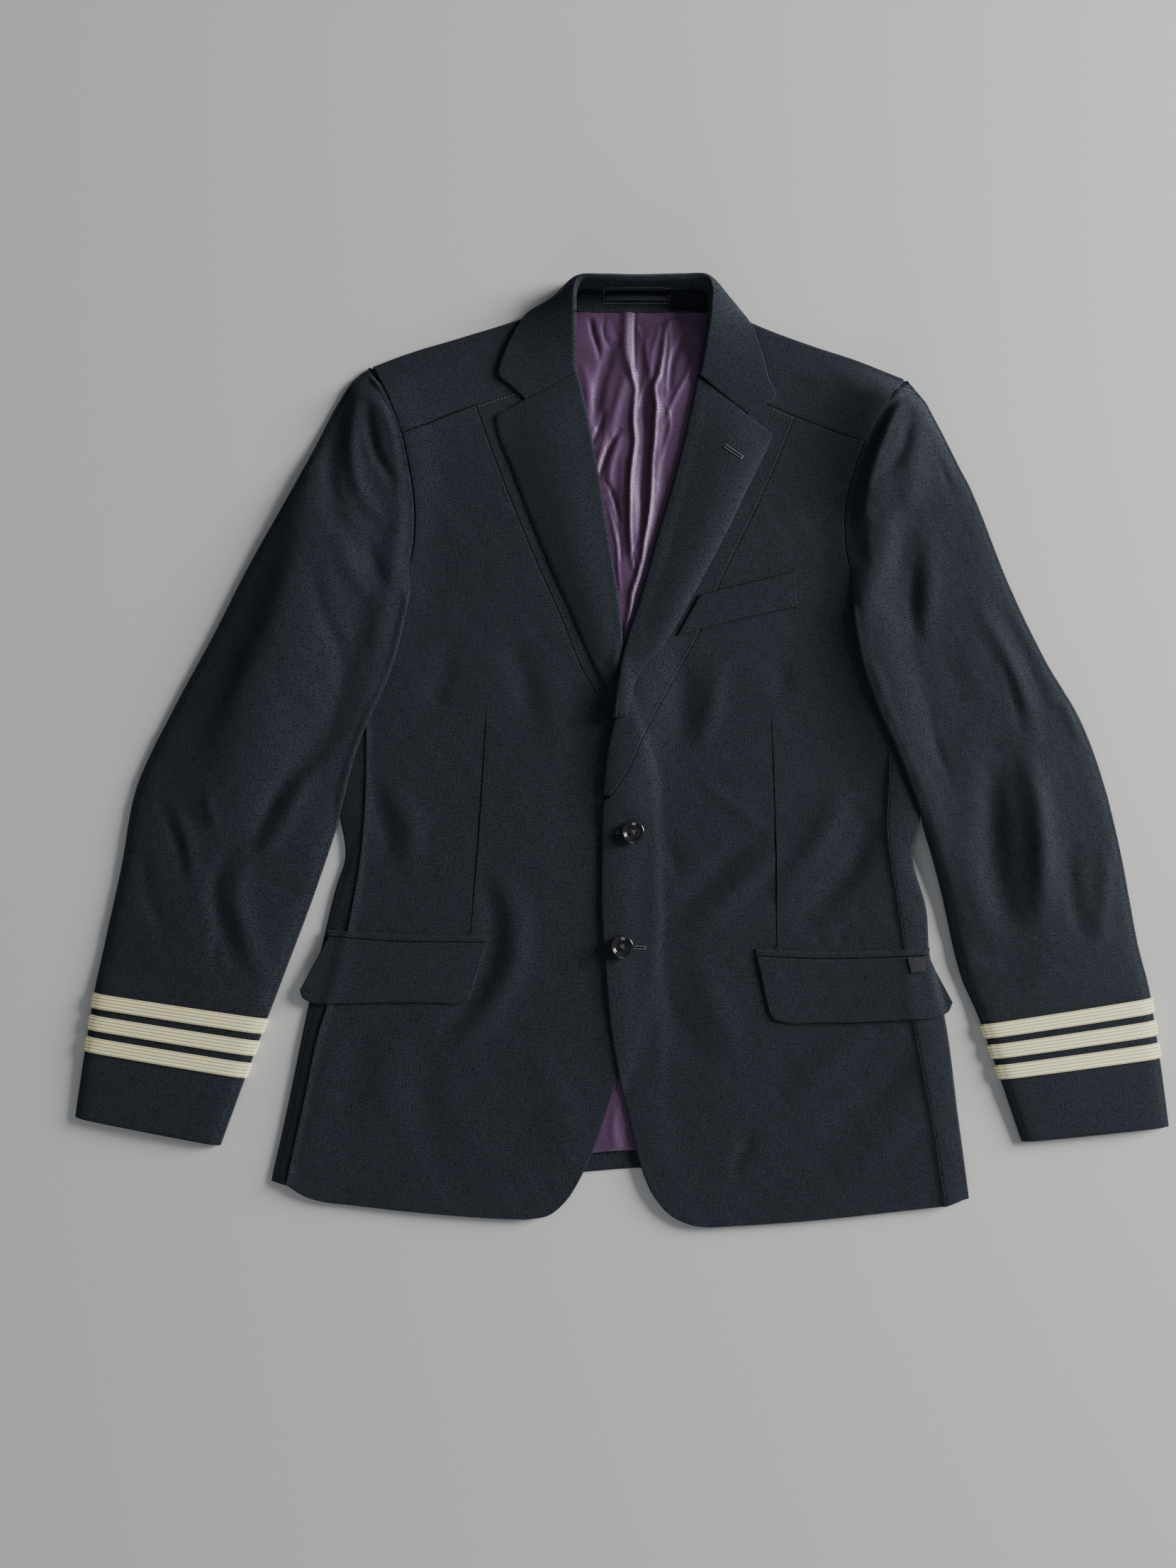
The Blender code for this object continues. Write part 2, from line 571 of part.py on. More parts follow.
def build_body_half(side, tables, pile):
    """Side panel, front, band and yoke of one half, laid as one level."""
    half = SEAM_GAP / 2
    side_fold, side_seam, armhole, band_seam, edge, cutaway, hem, yoke_seam = tables[:8]
    band_top, band_inner, shoulder = tables[8:]
    laid = [side_panel("side_" + side, side_fold, side_seam, pile)]

    seam = curve(side_seam, SIDE_ROWS)
    arm = curve(armhole, ARM_ROWS)
    band_run = curve(band_seam, BAND_ROWS)
    step = np.vstack([band_run[-1], edge[0]])
    edge_rows = SIDE_ROWS + ARM_ROWS - BAND_ROWS
    edge_run = joined(curve(edge, 4), curve(cutaway, edge_rows - 4))
    outside = joined(seam, arm)
    inside = joined(edge_run[::-1], step[::-1], band_run[::-1])
    start = curve(hem, HEM_COLUMNS)
    end = curve(yoke_seam, HEM_COLUMNS)
    plan = pull_in(patch(outside, inside, start, end), end=half, first=half, last=half)
    laid.append(body_panel("front_" + side, plan, pile))

    inner_run = curve(band_inner, BAND_ROWS)
    start = np.linspace(band_run[-1], inner_run[-1], BAND_COLUMNS)
    end = curve(band_top, BAND_COLUMNS)
    plan = patch(band_run[::-1], inner_run[::-1], start, end)
    plan = pull_in(plan, start=half, end=half, first=half, last=half)
    laid.append(body_panel("band_" + side, plan, pile))

    low = joined(curve(yoke_seam, HEM_COLUMNS), curve(band_top, BAND_COLUMNS))
    high = curve(shoulder, len(low))
    tangent = np.gradient(high, axis=0)
    outward = np.column_stack([tangent[:, 1], -tangent[:, 0]])
    outward /= np.linalg.norm(outward, axis=1, keepdims=True)
    outward *= np.sign(outward[:, 1:2])
    high = high - outward * FOLD_REACH
    plan = pull_in(leaf_plan(low, high, (0.0, 0.34, 0.67, 1.0)), first=half)
    under = drape(plan, body_height(plan[..., 0], plan[..., 1]) - WOOL, pile)
    top = with_height(plan, under + WOOL)
    low_leaf = with_height(plan[:, -1:], np.zeros((len(low), 1)))
    nose_outer, nose_inner = nose(top[:, -1], low_leaf[:, 0], outward, FOLD_REACH, WOOL)
    outer = np.concatenate([top, nose_outer, low_leaf], axis=1)
    inner = np.concatenate([shifted(top, -WOOL), nose_inner, shifted(low_leaf, WOOL)], axis=1)
    sheet("yoke_" + side, outer, inner, "wool")
    laid.append(outer)
    for grid in laid:
        pile.add(grid)


def build_lapel(side, edge_points, roll_points, pile):
    """Lapel: folded back on the front, round its roll line and a little way under."""
    edge, roll = curve(edge_points, LAPEL_ROWS), curve(roll_points, LAPEL_ROWS)
    tangent = np.gradient(roll, axis=0)
    inward = np.column_stack([tangent[:, 1], -tangent[:, 0]])
    inward /= np.linalg.norm(inward, axis=1, keepdims=True)
    inward *= np.sign(np.sum(inward * (edge - roll), axis=1, keepdims=True))
    turn = roll + inward * ROLL_REACH
    plan = leaf_plan(edge, turn, (0.0, 0.2, 0.4, 0.6, 0.8, 1.0))
    plan = pull_in(plan, start=SEAM_GAP / 2)
    lip_end = plan[:, -1] + inward * ROLL_LIP * np.clip(
        np.linalg.norm(edge - roll, axis=1, keepdims=True) / 40.0, 0.3, 1.0)
    lip = leaf_plan(plan[:, -1], lip_end, (0.0, 1.0))
    lip_under = drape(lip, np.full(lip.shape[:2], BODY_TOP - WOOL), pile)
    pile.add(with_height(lip, lip_under + LAPEL))
    breadth = np.linalg.norm(edge - roll, axis=1, keepdims=True)
    rise = np.array((0.0, 0.2, 0.6, 1.2, 2.0, 2.8))[None, :] * np.clip(breadth / 70.0, 0.0, 1.0)
    under = drape(plan, BODY_TOP + LAYER_GAP + rise, pile)
    under[:, -1] = np.maximum(under[:, -1], lip_under[:, 0] + LAPEL + 0.6)
    top = with_height(plan, under + LAPEL)
    low = with_height(lip, lip_under)
    nose_outer, nose_inner = nose(top[:, -1], low[:, 0], -inward, ROLL_REACH, LAPEL)
    outer = np.concatenate([top, nose_outer, low], axis=1)
    inner = np.concatenate([shifted(top, -LAPEL), nose_inner, shifted(low, LAPEL)], axis=1)
    sheet("lapel_" + side, outer, inner, "wool")
    pile.add(outer)


def build_collar(pile):
    """Collar: a leaf that falls outward from the fold and a stand that drops inside it."""
    rows = np.asarray(COLLAR, float)
    outer_rows, inner_rows = [], []
    for fold_x, fold_y, fold_z, edge_x, edge_y, edge_z, foot_z in rows:
        outward = np.array([edge_x - fold_x, edge_y - fold_y])
        distance = np.linalg.norm(outward)
        outward /= distance
        edge_z = max(edge_z, pile.at(np.array(edge_x), np.array(edge_y)) + LAYER_GAP + WOOL)
        drop = fold_z - edge_z
        steep = drop / (drop + distance)
        section = []
        for share in (0.0, 0.2, 0.4, 0.6, 0.8, 1.0):
            turn = share * math.pi / 2
            flat = (distance + (ROLL_REACH - distance) * share, edge_z + drop * share**1.5)
            round_d = ROLL_REACH + (distance - ROLL_REACH) * math.cos(turn)
            round_z = edge_z + drop * math.sin(turn)
            section.append(((1 - steep) * flat[0] + steep * round_d,
                            (1 - steep) * flat[1] + steep * round_z))
        stand_top = fold_z - 3.4
        section.append((ROLL_REACH * 0.3, fold_z - 1.1))
        section.append((0.0, stand_top))
        section.append((0.2, (stand_top + foot_z) / 2))
        section.append((0.8, foot_z))
        section = np.array(section)
        heading = np.gradient(section, axis=0)
        heading /= np.linalg.norm(heading, axis=1, keepdims=True)
        inside = section + WOOL * np.column_stack([heading[:, 1], -heading[:, 0]])
        for target, line in ((outer_rows, section), (inner_rows, inside)):
            target.append(np.column_stack([fold_x + outward[0] * line[:, 0],
                                           fold_y + outward[1] * line[:, 0], line[:, 1]]))
    outer, inner = np.array(outer_rows), np.array(inner_rows)
    leaf = inner[:, :5]
    lift = drape(leaf[..., :2], leaf[..., 2], pile) - leaf[..., 2]
    outer[:, :5, 2] += lift
    inner[:, :5, 2] += lift
    sheet("collar", outer, inner, "wool")
    pile.add(outer)


def small_panel(name, low_points, high_points, thickness, pile, kind="wool", columns=4, rows=9):
    """A piece that lies on the front, such as a welt, a jet or a flap."""
    low, high = curve(low_points, rows), curve(high_points, rows)
    plan = leaf_plan(low, high, np.linspace(0.0, 1.0, columns))
    under = drape(plan, np.full(plan.shape[:2], BODY_TOP), pile)
    return slab(name, plan, under, thickness, kind)


def build_pockets(pile):
    """Breast welt, and a jet with its flap and tab at each hip."""
    laid = [small_panel("breast_welt", WELT_BOTTOM, WELT_TOP, WOOL, pile)]
    laid.append(small_panel("jet_right", JET_RIGHT_BOTTOM, JET_RIGHT_TOP, LAPEL, pile, columns=2))
    laid.append(small_panel("jet_left", JET_LEFT_BOTTOM, JET_LEFT_TOP, LAPEL, pile, columns=2))
    laid.append(small_panel("flap_right", FLAP_RIGHT_BOTTOM, FLAP_RIGHT_TOP, WOOL, pile))
    laid.append(small_panel("flap_left", FLAP_LEFT_BOTTOM, FLAP_LEFT_TOP, WOOL, pile))
    for grid in laid:
        pile.add(grid)
    small_panel("label", LABEL_BOTTOM, LABEL_TOP, TAB, pile, "label", columns=3, rows=3)


def build_button(name, x, y, pile):
    """Button: a turned disc with a raised rim, a dished face and four holes."""
    profile = ((0.0, 1.6), (6.0, 1.9), (7.6, 3.2), (8.6, BUTTON_HEIGHT), (9.5, 3.8),
               (BUTTON_RADIUS, 2.6), (8.8, 0.9), (6.5, 0.0), (0.0, 0.0))
    around = 20
    spots = [(x + r * math.cos(a), y + r * math.sin(a))
             for r in (0.0, 4.0, 8.0, 10.0) for a in np.linspace(0.0, 2 * math.pi, 12)]
    seat = max(float(pile.at(np.array(u), np.array(v))) for u, v in spots) + LAYER_GAP
    points, faces = [(x, y, seat + profile[0][1])], []
    for radius, height in profile[1:-1]:
        for k in range(around):
            angle = 2 * math.pi * k / around
            points.append((x + radius * math.cos(angle), y + radius * math.sin(angle), seat + height))
    points.append((x, y, seat + profile[-1][1]))
    rings = len(profile) - 2
    for k in range(around):
        after = (k + 1) % around
        faces.append((0, 1 + k, 1 + after))
        for ring in range(rings - 1):
            a, b = 1 + ring * around + k, 1 + ring * around + after
            faces.append((a, a + around, b + around, b))
        last = 1 + (rings - 1) * around
        faces.append((last + k, len(points) - 1, last + after))
    item = add_object(name, points, faces, "button")
    work = bmesh.new()
    for side_x in (-1, 1):
        for side_y in (-1, 1):
            made = bmesh.ops.create_cone(work, cap_ends=True, segments=8, depth=12 * MM,
                                         radius1=BUTTON_HOLE * MM, radius2=BUTTON_HOLE * MM)
            shift = ((x + side_x * BUTTON_HOLE_OFFSET) * MM,
                     (y - CENTRE_Y + side_y * BUTTON_HOLE_OFFSET) * MM, (seat + 2.0) * MM)
            bmesh.ops.translate(work, verts=made["verts"], vec=shift)
    mesh = bpy.data.meshes.new(name + "_holes")
    work.to_mesh(mesh)
    work.free()
    cutter = bpy.data.objects.new(name + "_holes", mesh)
    cutter.hide_render = True
    cutter.display_type = "WIRE"
    bpy.context.scene.collection.objects.link(cutter)
    cut = item.modifiers.new("holes", "BOOLEAN")
    cut.operation = "DIFFERENCE"
    cut.solver = "EXACT"
    cut.object = cutter


def braid_places():
    """Where the sleeve's rows cross the cuff and the braids' edges, as shares of the cuff zone."""
    places = [0.0, BRAID_RISE * 0.5 / CUFF_ZONE]
    for number in range(BRAIDS):
        lower = BRAID_RISE + number * BRAID_PITCH
        places += [lower / CUFF_ZONE, (lower + BRAID_WIDTH) / CUFF_ZONE]
    return places


def offset_loop(points, distance):
    """Moves a closed outline of (along, height) points outward."""
    ahead = np.roll(points, -1, axis=0) - points
    ahead /= np.linalg.norm(ahead, axis=1, keepdims=True)
    after = np.column_stack([ahead[:, 1], -ahead[:, 0]])
    before = np.roll(after, 1, axis=0)
    share = 1.0 + np.sum(after * before, axis=1, keepdims=True)
    return points + distance * (after + before) / np.maximum(share, 0.5)


def build_braid(name, ring_rows):
    """Braid: a flat tape right round the cuff, made from the sleeve's own points."""
    skins = []
    for distance in (LAYER_GAP + BRAID, LAYER_GAP):
        rows = []
        for ring in ring_rows:
            start = ring[0, :2]
            axis = ring[:, :2] - start
            far = axis[np.argmax(np.linalg.norm(axis, axis=1))]
            unit = far / np.linalg.norm(far)
            flat = np.column_stack([axis @ unit, ring[:, 2]])
            area = np.sum(flat[:, 0] * np.roll(flat[:, 1], -1) - np.roll(flat[:, 0], -1) * flat[:, 1])
            moved = offset_loop(flat, distance if area > 0 else -distance)
            rows.append(np.column_stack([start + moved[:, :1] * unit, moved[:, 1]]))
        skins.append(np.array(rows))
    outer, inner = skins
    n, m = outer.shape[:2]
    faces = []
    for j in range(m):
        k = (j + 1) % m
        for i in range(n - 1):
            a, b, c, d = i * m + j, (i + 1) * m + j, (i + 1) * m + k, i * m + k
            faces += [(a, b, c), (a, c, d)]
            faces += [(a + n * m, b + n * m, c + n * m), (a + n * m, c + n * m, d + n * m)]
        for i in (0, n - 1):
            a, d = i * m + j, i * m + k
            faces.append((a, d, d + n * m, a + n * m))
    points = np.vstack([outer.reshape(-1, 3), inner.reshape(-1, 3)])
    add_object(name, points, faces, "braid")


def build_sleeve(side, table, folds, pile):
    """Two-piece sleeve: the top sleeve wraps both folds, the under sleeve closes the tube."""
    cuff = braid_places()
    places = np.array(cuff + list(np.linspace(1.0, len(table) - 1.0, SLEEVE_ROWS)[1:]))
    rows = table_rows(table, places)
    straight = places < 1.0
    share = places[straight][:, None]
    hem_row, top_row = np.asarray(table[0], float), np.asarray(table[1], float)
    rows[straight] = hem_row * (1 - share) + top_row * share
    outside, inside = rows[:, 0:2], rows[:, 2:4]
    across = inside - outside
    width = np.linalg.norm(across, axis=1, keepdims=True)
    across = across / width
    reach = np.minimum(FOLD_REACH, width * 0.2)
    cap = np.clip((places - CAP_START + 0.8) / 0.8, 0.0, 1.0)[:, None]
    lip_length = 16.0 * (1 - cap) + np.minimum(3.0, width * 0.12) * cap
    outer_turn = outside + across * reach
    inner_turn = inside - across * reach
    back_seam = outside + across * width * rows[:, 4:5]
    lip_end = inner_turn - across * lip_length

    lift = CUFF_LIFT * np.clip(places / 0.4, 0.0, 1.0) * np.clip(1.5 - places, 0.0, 0.5) / 0.5
    floor = lift[:, None]
    lower = leaf_plan(outer_turn, back_seam, (0.0, 0.5, 1.0))
    lip = leaf_plan(lip_end, inner_turn, (0.0, 1.0))
    lower_under = drape(lower, floor * np.ones((1, 3)), pile)
    lip_under = drape(lip, floor * np.ones((1, 2)), pile)

    short, full = int((places <= UNDERARM_ROW).sum()), int((places <= CAP_START - 0.4).sum())
    first = back_seam[:short] + across[:short] * HIDDEN_GAP
    last = lip_end[:full] - across[:full] * HIDDEN_GAP
    middle = first[-1] * 0.55 + last[-1] * 0.45
    first = joined(first, np.linspace(first[-1], middle, full - short + 1))
    start = np.linspace(first[0], last[0], 6)
    end = np.linspace(middle, last[-1], 6)
    plan = patch(first, last, start, end)
    under_floor = floor[:full] * np.ones((1, 6))
    under_sleeve = slab("under_sleeve_" + side, plan, drape(plan, under_floor, pile), WOOL, "wool")

    pile.add(with_height(lower, lower_under + WOOL))
    pile.add(with_height(lip, lip_under + WOOL))
    pile.add(under_sleeve)
    shares = (0.0, 0.12, 0.26, 0.4, 0.54, 0.68, 0.82, 0.92, 1.0)
    upper = leaf_plan(inner_turn, outer_turn, shares)
    crown = np.sin(np.array(shares) * math.pi)[None, :] ** 0.6
    fade = np.clip((places - 0.9) / 1.2, 0.0, 1.0)[:, None]
    relief = fold_height(upper[..., 0], upper[..., 1], folds) * fade
    wanted = SLEEVE_TOP - WOOL + SLEEVE_CROWN * crown * fade + relief + floor
    wanted = np.maximum(wanted, floor + WOOL + LAYER_GAP)
    upper_under = drape(upper, wanted, pile)
    upper_under[:, 0] = np.maximum(upper_under[:, 0], lip_under[:, -1] + WOOL + 0.8)
    upper_under[:, -1] = np.maximum(upper_under[:, -1], lower_under[:, 0] + WOOL + 0.8)
    top = with_height(upper, upper_under + WOOL)
    low = with_height(lower, lower_under)
    lip_low = with_height(lip, lip_under)
    inner_nose = nose(top[:, 0], lip_low[:, -1], across, reach, WOOL)
    outer_nose = nose(top[:, -1], low[:, 0], -across, reach, WOOL)
    outer = np.concatenate([lip_low, inner_nose[0][:, ::-1], top, outer_nose[0], low], axis=1)
    inner = np.concatenate([shifted(lip_low, WOOL), inner_nose[1][:, ::-1], shifted(top, -WOOL),
                            outer_nose[1], shifted(low, WOOL)], axis=1)
    sheet("top_sleeve_" + side, outer, inner, "wool")
    pile.add(outer)
    for number in range(BRAIDS):
        row = 2 + 2 * number
        build_braid("braid_" + side + "_" + str(number + 1), outer[row:row + 2])


RIGHT_TABLES = (SIDE_FOLD_RIGHT, SIDE_SEAM_RIGHT, ARMHOLE_RIGHT, BAND_SEAM_RIGHT, FRONT_EDGE_RIGHT,
                CUTAWAY_RIGHT, FRONT_HEM_RIGHT, YOKE_SEAM_RIGHT, BAND_TOP_RIGHT,
                BAND_INNER_RIGHT, SHOULDER_RIGHT)
LEFT_TABLES = (SIDE_FOLD_LEFT, SIDE_SEAM_LEFT, ARMHOLE_LEFT, BAND_SEAM_LEFT, FRONT_EDGE_LEFT,
               CUTAWAY_LEFT, FRONT_HEM_LEFT, YOKE_SEAM_LEFT, BAND_TOP_LEFT,
               BAND_INNER_LEFT, SHOULDER_LEFT)

clear_scene()
pile = Pile()
pile.add(build_back())
pile.add(build_lining(pile))
build_neck(pile)
build_body_half("right", RIGHT_TABLES, pile)
build_lapel("right", LAPEL_EDGE_RIGHT, ROLL_RIGHT, pile)
build_body_half("left", LEFT_TABLES, pile)
build_lapel("left", LAPEL_EDGE_LEFT, ROLL_LEFT, pile)
build_collar(pile)
build_pockets(pile)
for button_name, button_x, button_y in BUTTONS:
    build_button(button_name, button_x, button_y, pile)
build_sleeve("right", SLEEVE_RIGHT, SLEEVE_FOLDS_RIGHT, pile)
build_sleeve("left", SLEEVE_LEFT, SLEEVE_FOLDS_LEFT, pile)
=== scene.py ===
"""Pilot uniform jacket laid flat with its front up: cloth, braid, buttons and sewing.

Outlines are in millimetres on the surface that the jacket lies on, and become metres when a
mesh is made. The wearer's right half lies at -X, the collar at +Y.
"""

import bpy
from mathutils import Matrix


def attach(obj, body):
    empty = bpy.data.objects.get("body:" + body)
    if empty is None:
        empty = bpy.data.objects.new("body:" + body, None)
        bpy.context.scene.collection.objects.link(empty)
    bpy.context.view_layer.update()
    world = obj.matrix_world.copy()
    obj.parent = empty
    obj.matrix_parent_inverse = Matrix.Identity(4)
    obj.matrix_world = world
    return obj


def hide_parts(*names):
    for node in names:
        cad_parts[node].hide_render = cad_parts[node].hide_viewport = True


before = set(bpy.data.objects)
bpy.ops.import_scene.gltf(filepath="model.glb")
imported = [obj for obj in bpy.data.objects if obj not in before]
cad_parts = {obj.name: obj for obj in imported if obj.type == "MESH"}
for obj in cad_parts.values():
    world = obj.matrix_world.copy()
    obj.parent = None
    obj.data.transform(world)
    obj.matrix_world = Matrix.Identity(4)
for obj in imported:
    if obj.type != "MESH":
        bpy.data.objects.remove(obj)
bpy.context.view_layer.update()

import math

import bpy
import numpy as np

# ---------------------------------------------------------------------------------------
# Back: the full back panel, which carries everything else. One layer of a dark navy and
# charcoal worsted, a fine mixed twill with faint slubs, cut with the neck, armholes and hem
# and lying on the surface.

MM = 0.001
TABLE_Y = 3.7
WOOL = 1.5
GAP = 0.35


def node_group(name, inputs, outputs):
    """An empty shader group with its sockets, and its input and output nodes."""
    group = bpy.data.node_groups.new(name, "ShaderNodeTree")
    for kind, label, value in inputs:
        socket = group.interface.new_socket(name=label, in_out="INPUT", socket_type=kind)
        if value is not None:
            socket.default_value = value
    for kind, label in outputs:
        group.interface.new_socket(name=label, in_out="OUTPUT", socket_type=kind)
    return group, group.nodes.new("NodeGroupInput"), group.nodes.new("NodeGroupOutput")


def maths(tree, operation, first, second=0.5):
    """A maths node on sockets or numbers."""
    node = tree.nodes.new("ShaderNodeMath")
    node.operation = operation
    for slot, value in enumerate((first, second)):
        if isinstance(value, (int, float)):
            node.inputs[slot].default_value = value
        else:
            tree.links.new(value, node.inputs[slot])
    return node.outputs[0]


def blend_colour(tree, share, first, second):
    """A colour between two, each a socket or a plain colour."""
    node = tree.nodes.new("ShaderNodeMix")
    node.data_type = "RGBA"
    tree.links.new(share, node.inputs["Factor"])
    for label, value in (("A", first), ("B", second)):
        socket = [s for s in node.inputs if s.name == label and s.type == "RGBA"][0]
        if isinstance(value, tuple):
            socket.default_value = value
        else:
            tree.links.new(value, socket)
    return [s for s in node.outputs if s.type == "RGBA"][0]


def noise(tree, vector, scale, detail=2.0, stretch=None):
    """Noise on the given coordinates, which may be stretched along one direction first."""
    if stretch:
        mapping = tree.nodes.new("ShaderNodeMapping")
        mapping.inputs["Scale"].default_value = stretch
        tree.links.new(vector, mapping.inputs["Vector"])
        vector = mapping.outputs[0]
    node = tree.nodes.new("ShaderNodeTexNoise")
    node.inputs["Scale"].default_value = scale
    node.inputs["Detail"].default_value = detail
    tree.links.new(vector, node.inputs["Vector"])
    return node.outputs["Fac"]


def weave_group():
    """Weave: crossing yarns of sin(along) and sin(across) at one pitch, with slubs from
    noise that is stretched along each yarn. Puts out a height and a lightness from 0 to 1."""
    group, start, end = node_group("weave", [
        ("NodeSocketVector", "Cloth", None), ("NodeSocketFloat", "Yarns per metre", 1400.0),
        ("NodeSocketFloat", "Slub", 1.0)],
        [("NodeSocketFloat", "Height"), ("NodeSocketFloat", "Lightness")])
    split = group.nodes.new("ShaderNodeSeparateXYZ")
    group.links.new(start.outputs["Cloth"], split.inputs[0])
    turns = maths(group, "MULTIPLY", start.outputs["Yarns per metre"], 2 * math.pi)
    warp = maths(group, "SINE", maths(group, "MULTIPLY", split.outputs[0], turns))
    weft = maths(group, "SINE", maths(group, "MULTIPLY", split.outputs[1], turns))
    diagonal = maths(group, "SINE", maths(group, "MULTIPLY", maths(
        group, "ADD", split.outputs[0], split.outputs[1]), maths(group, "MULTIPLY", turns, 0.5)))
    height = maths(group, "ADD", maths(group, "MULTIPLY", warp, weft),
                   maths(group, "MULTIPLY", diagonal, 0.7))
    along = noise(group, start.outputs["Cloth"], 1.0, 1.0, (900.0, 90.0, 1.0))
    across = noise(group, start.outputs["Cloth"], 1.0, 1.0, (110.0, 1000.0, 1.0))
    specks = noise(group, start.outputs["Cloth"], 760.0, 2.0)
    slubs = maths(group, "MULTIPLY", maths(group, "ADD", along, across), 0.8)
    slubs = maths(group, "ADD", slubs, maths(group, "MULTIPLY", specks, 3.0))
    slubs = maths(group, "MULTIPLY", slubs, 1 / 4.2)
    slubs = maths(group, "MULTIPLY", maths(group, "SUBTRACT", slubs, 0.5),
                  start.outputs["Slub"])
    light = maths(group, "ADD", maths(group, "MULTIPLY", height, 0.06), 0.5)
    light = maths(group, "ADD", light, maths(group, "MULTIPLY", slubs, 10.0))
    node = group.nodes.new("ShaderNodeClamp")
    group.links.new(light, node.inputs[0])
    group.links.new(node.outputs[0], end.inputs["Lightness"])
    group.links.new(maths(group, "ADD", height, maths(group, "MULTIPLY", slubs, 6.0)),
                    end.inputs["Height"])
    return group


def cloth_material(name, dark, light, roughness, yarns, slub, relief, sheen, sheen_tint):
    """A woven cloth: two colours mixed by the weave's lightness, larger soft patches of
    wear, and the weave's height as a bump."""
    material = bpy.data.materials.new(name)
    material.use_nodes = True
    tree = material.node_tree
    shader = tree.nodes["Principled BSDF"]
    cloth = tree.nodes.new("ShaderNodeUVMap")
    cloth.uv_map = "cloth"
    group = tree.nodes.new("ShaderNodeGroup")
    group.node_tree = WEAVE
    group.inputs["Yarns per metre"].default_value = yarns
    group.inputs["Slub"].default_value = slub
    tree.links.new(cloth.outputs[0], group.inputs["Cloth"])
    place = tree.nodes.new("ShaderNodeTexCoord")
    patches = noise(tree, place.outputs["Object"], 9.0, 3.0)
    patches = maths(tree, "MULTIPLY", maths(tree, "SUBTRACT", patches, 0.5), 0.5)
    share = maths(tree, "ADD", group.outputs["Lightness"], patches)
    colour = blend_colour(tree, share, dark, light)
    tree.links.new(colour, shader.inputs["Base Color"])
    rough = maths(tree, "ADD", maths(tree, "MULTIPLY", patches, 0.15), roughness)
    tree.links.new(rough, shader.inputs["Roughness"])
    bump = tree.nodes.new("ShaderNodeBump")
    bump.inputs["Strength"].default_value = relief
    bump.inputs["Distance"].default_value = 0.0002
    tree.links.new(group.outputs["Height"], bump.inputs["Height"])
    tree.links.new(bump.outputs[0], shader.inputs["Normal"])
    shader.inputs["Sheen Weight"].default_value = sheen
    shader.inputs["Sheen Roughness"].default_value = 0.45
    shader.inputs["Sheen Tint"].default_value = sheen_tint
    shader.inputs["Specular IOR Level"].default_value = 0.12
    return material


WEAVE = weave_group()
wool = cloth_material("worsted_wool", (0.0061, 0.0078, 0.0114, 1.0),
                      (0.0226, 0.0272, 0.0361, 1.0), 0.85, 1300.0, 1.0, 0.5, 0.05,
                      (0.55, 0.6, 0.75, 1.0))

BACK_SIDE_RIGHT = ((-278, -384), (-267, -333), (-252, -258), (-232, -165), (-217, -108),
                   (-228, -50), (-240, 20), (-242, 72), (-215, 130), (-200, 180),
                   (-206, 240), (-211, 316))
BACK_SIDE_LEFT = ((271, -400), (262, -326), (251, -243), (238, -150), (227, -101),
                  (236, -50), (248, 20), (255, 71), (236, 130), (226, 180), (232, 240), (240, 306))
BACK_HEM = ((-278, -384), (-100, -377), (-36, -373), (13, -370), (100, -378), (271, -400))
BACK_TOP = ((-211, 316), (-141, 342), (-88, 359), (-60, 371), (-48, 392), (-38, 402), (16, 403),
            (72, 403), (86, 392), (96, 367), (119, 354), (173, 333), (240, 306))


def curve(points, count):
    """Even points along a smooth curve through the given ones: cubic pieces whose slopes
    come from the neighbouring points, read off again at equal lengths."""
    knots = np.asarray(points, float)
    chord = np.concatenate([[0.0], np.cumsum(np.linalg.norm(np.diff(knots, axis=0), axis=1))])
    slope = np.gradient(knots, chord, axis=0)
    u = np.linspace(0.0, 1.0, 30, endpoint=False)[None, :, None]
    span = np.diff(chord)[:, None, None]
    fine = ((2 * u**3 - 3 * u**2 + 1) * knots[:-1, None]
            + (u**3 - 2 * u**2 + u) * span * slope[:-1, None]
            + (3 * u**2 - 2 * u**3) * knots[1:, None] + (u**3 - u**2) * span * slope[1:, None])
    fine = np.vstack([fine.reshape(-1, knots.shape[1]), knots[-1:]])
    run = np.concatenate([[0.0], np.cumsum(np.linalg.norm(np.diff(fine, axis=0), axis=1))])
    even = np.linspace(0.0, run[-1], count)
    return np.column_stack([np.interp(even, run, fine[:, k]) for k in range(knots.shape[1])])


def joined(*runs):
    """One run of points from several that share their ends."""
    return np.vstack([runs[0]] + [run[1:] for run in runs[1:]])


def patch(first, last, start, end):
    """Coons patch: each point is the mean pull of its two columns and two rows, less the
    straight blend of the four corners."""
    def shares(points):
        run = np.cumsum(np.linalg.norm(np.diff(points, axis=0), axis=1))
        return np.concatenate([[0.0], run]) / run[-1]
    t = ((shares(first) + shares(last)) / 2)[:, None, None]
    s = ((shares(start) + shares(end)) / 2)[None, :, None]
    corners = ((1 - s) * (1 - t) * first[0] + s * (1 - t) * last[0]
               + (1 - s) * t * first[-1] + s * t * last[-1])
    return ((1 - s) * first[:, None] + s * last[:, None]
            + (1 - t) * start[None] + t * end[None] - corners)


def leaf(start, end, shares):
    """Plan grid of straight rows between two edges, at the given shares of the way."""
    s = np.asarray(shares)[None, :, None]
    return start[:, None] * (1 - s) + end[:, None] * s


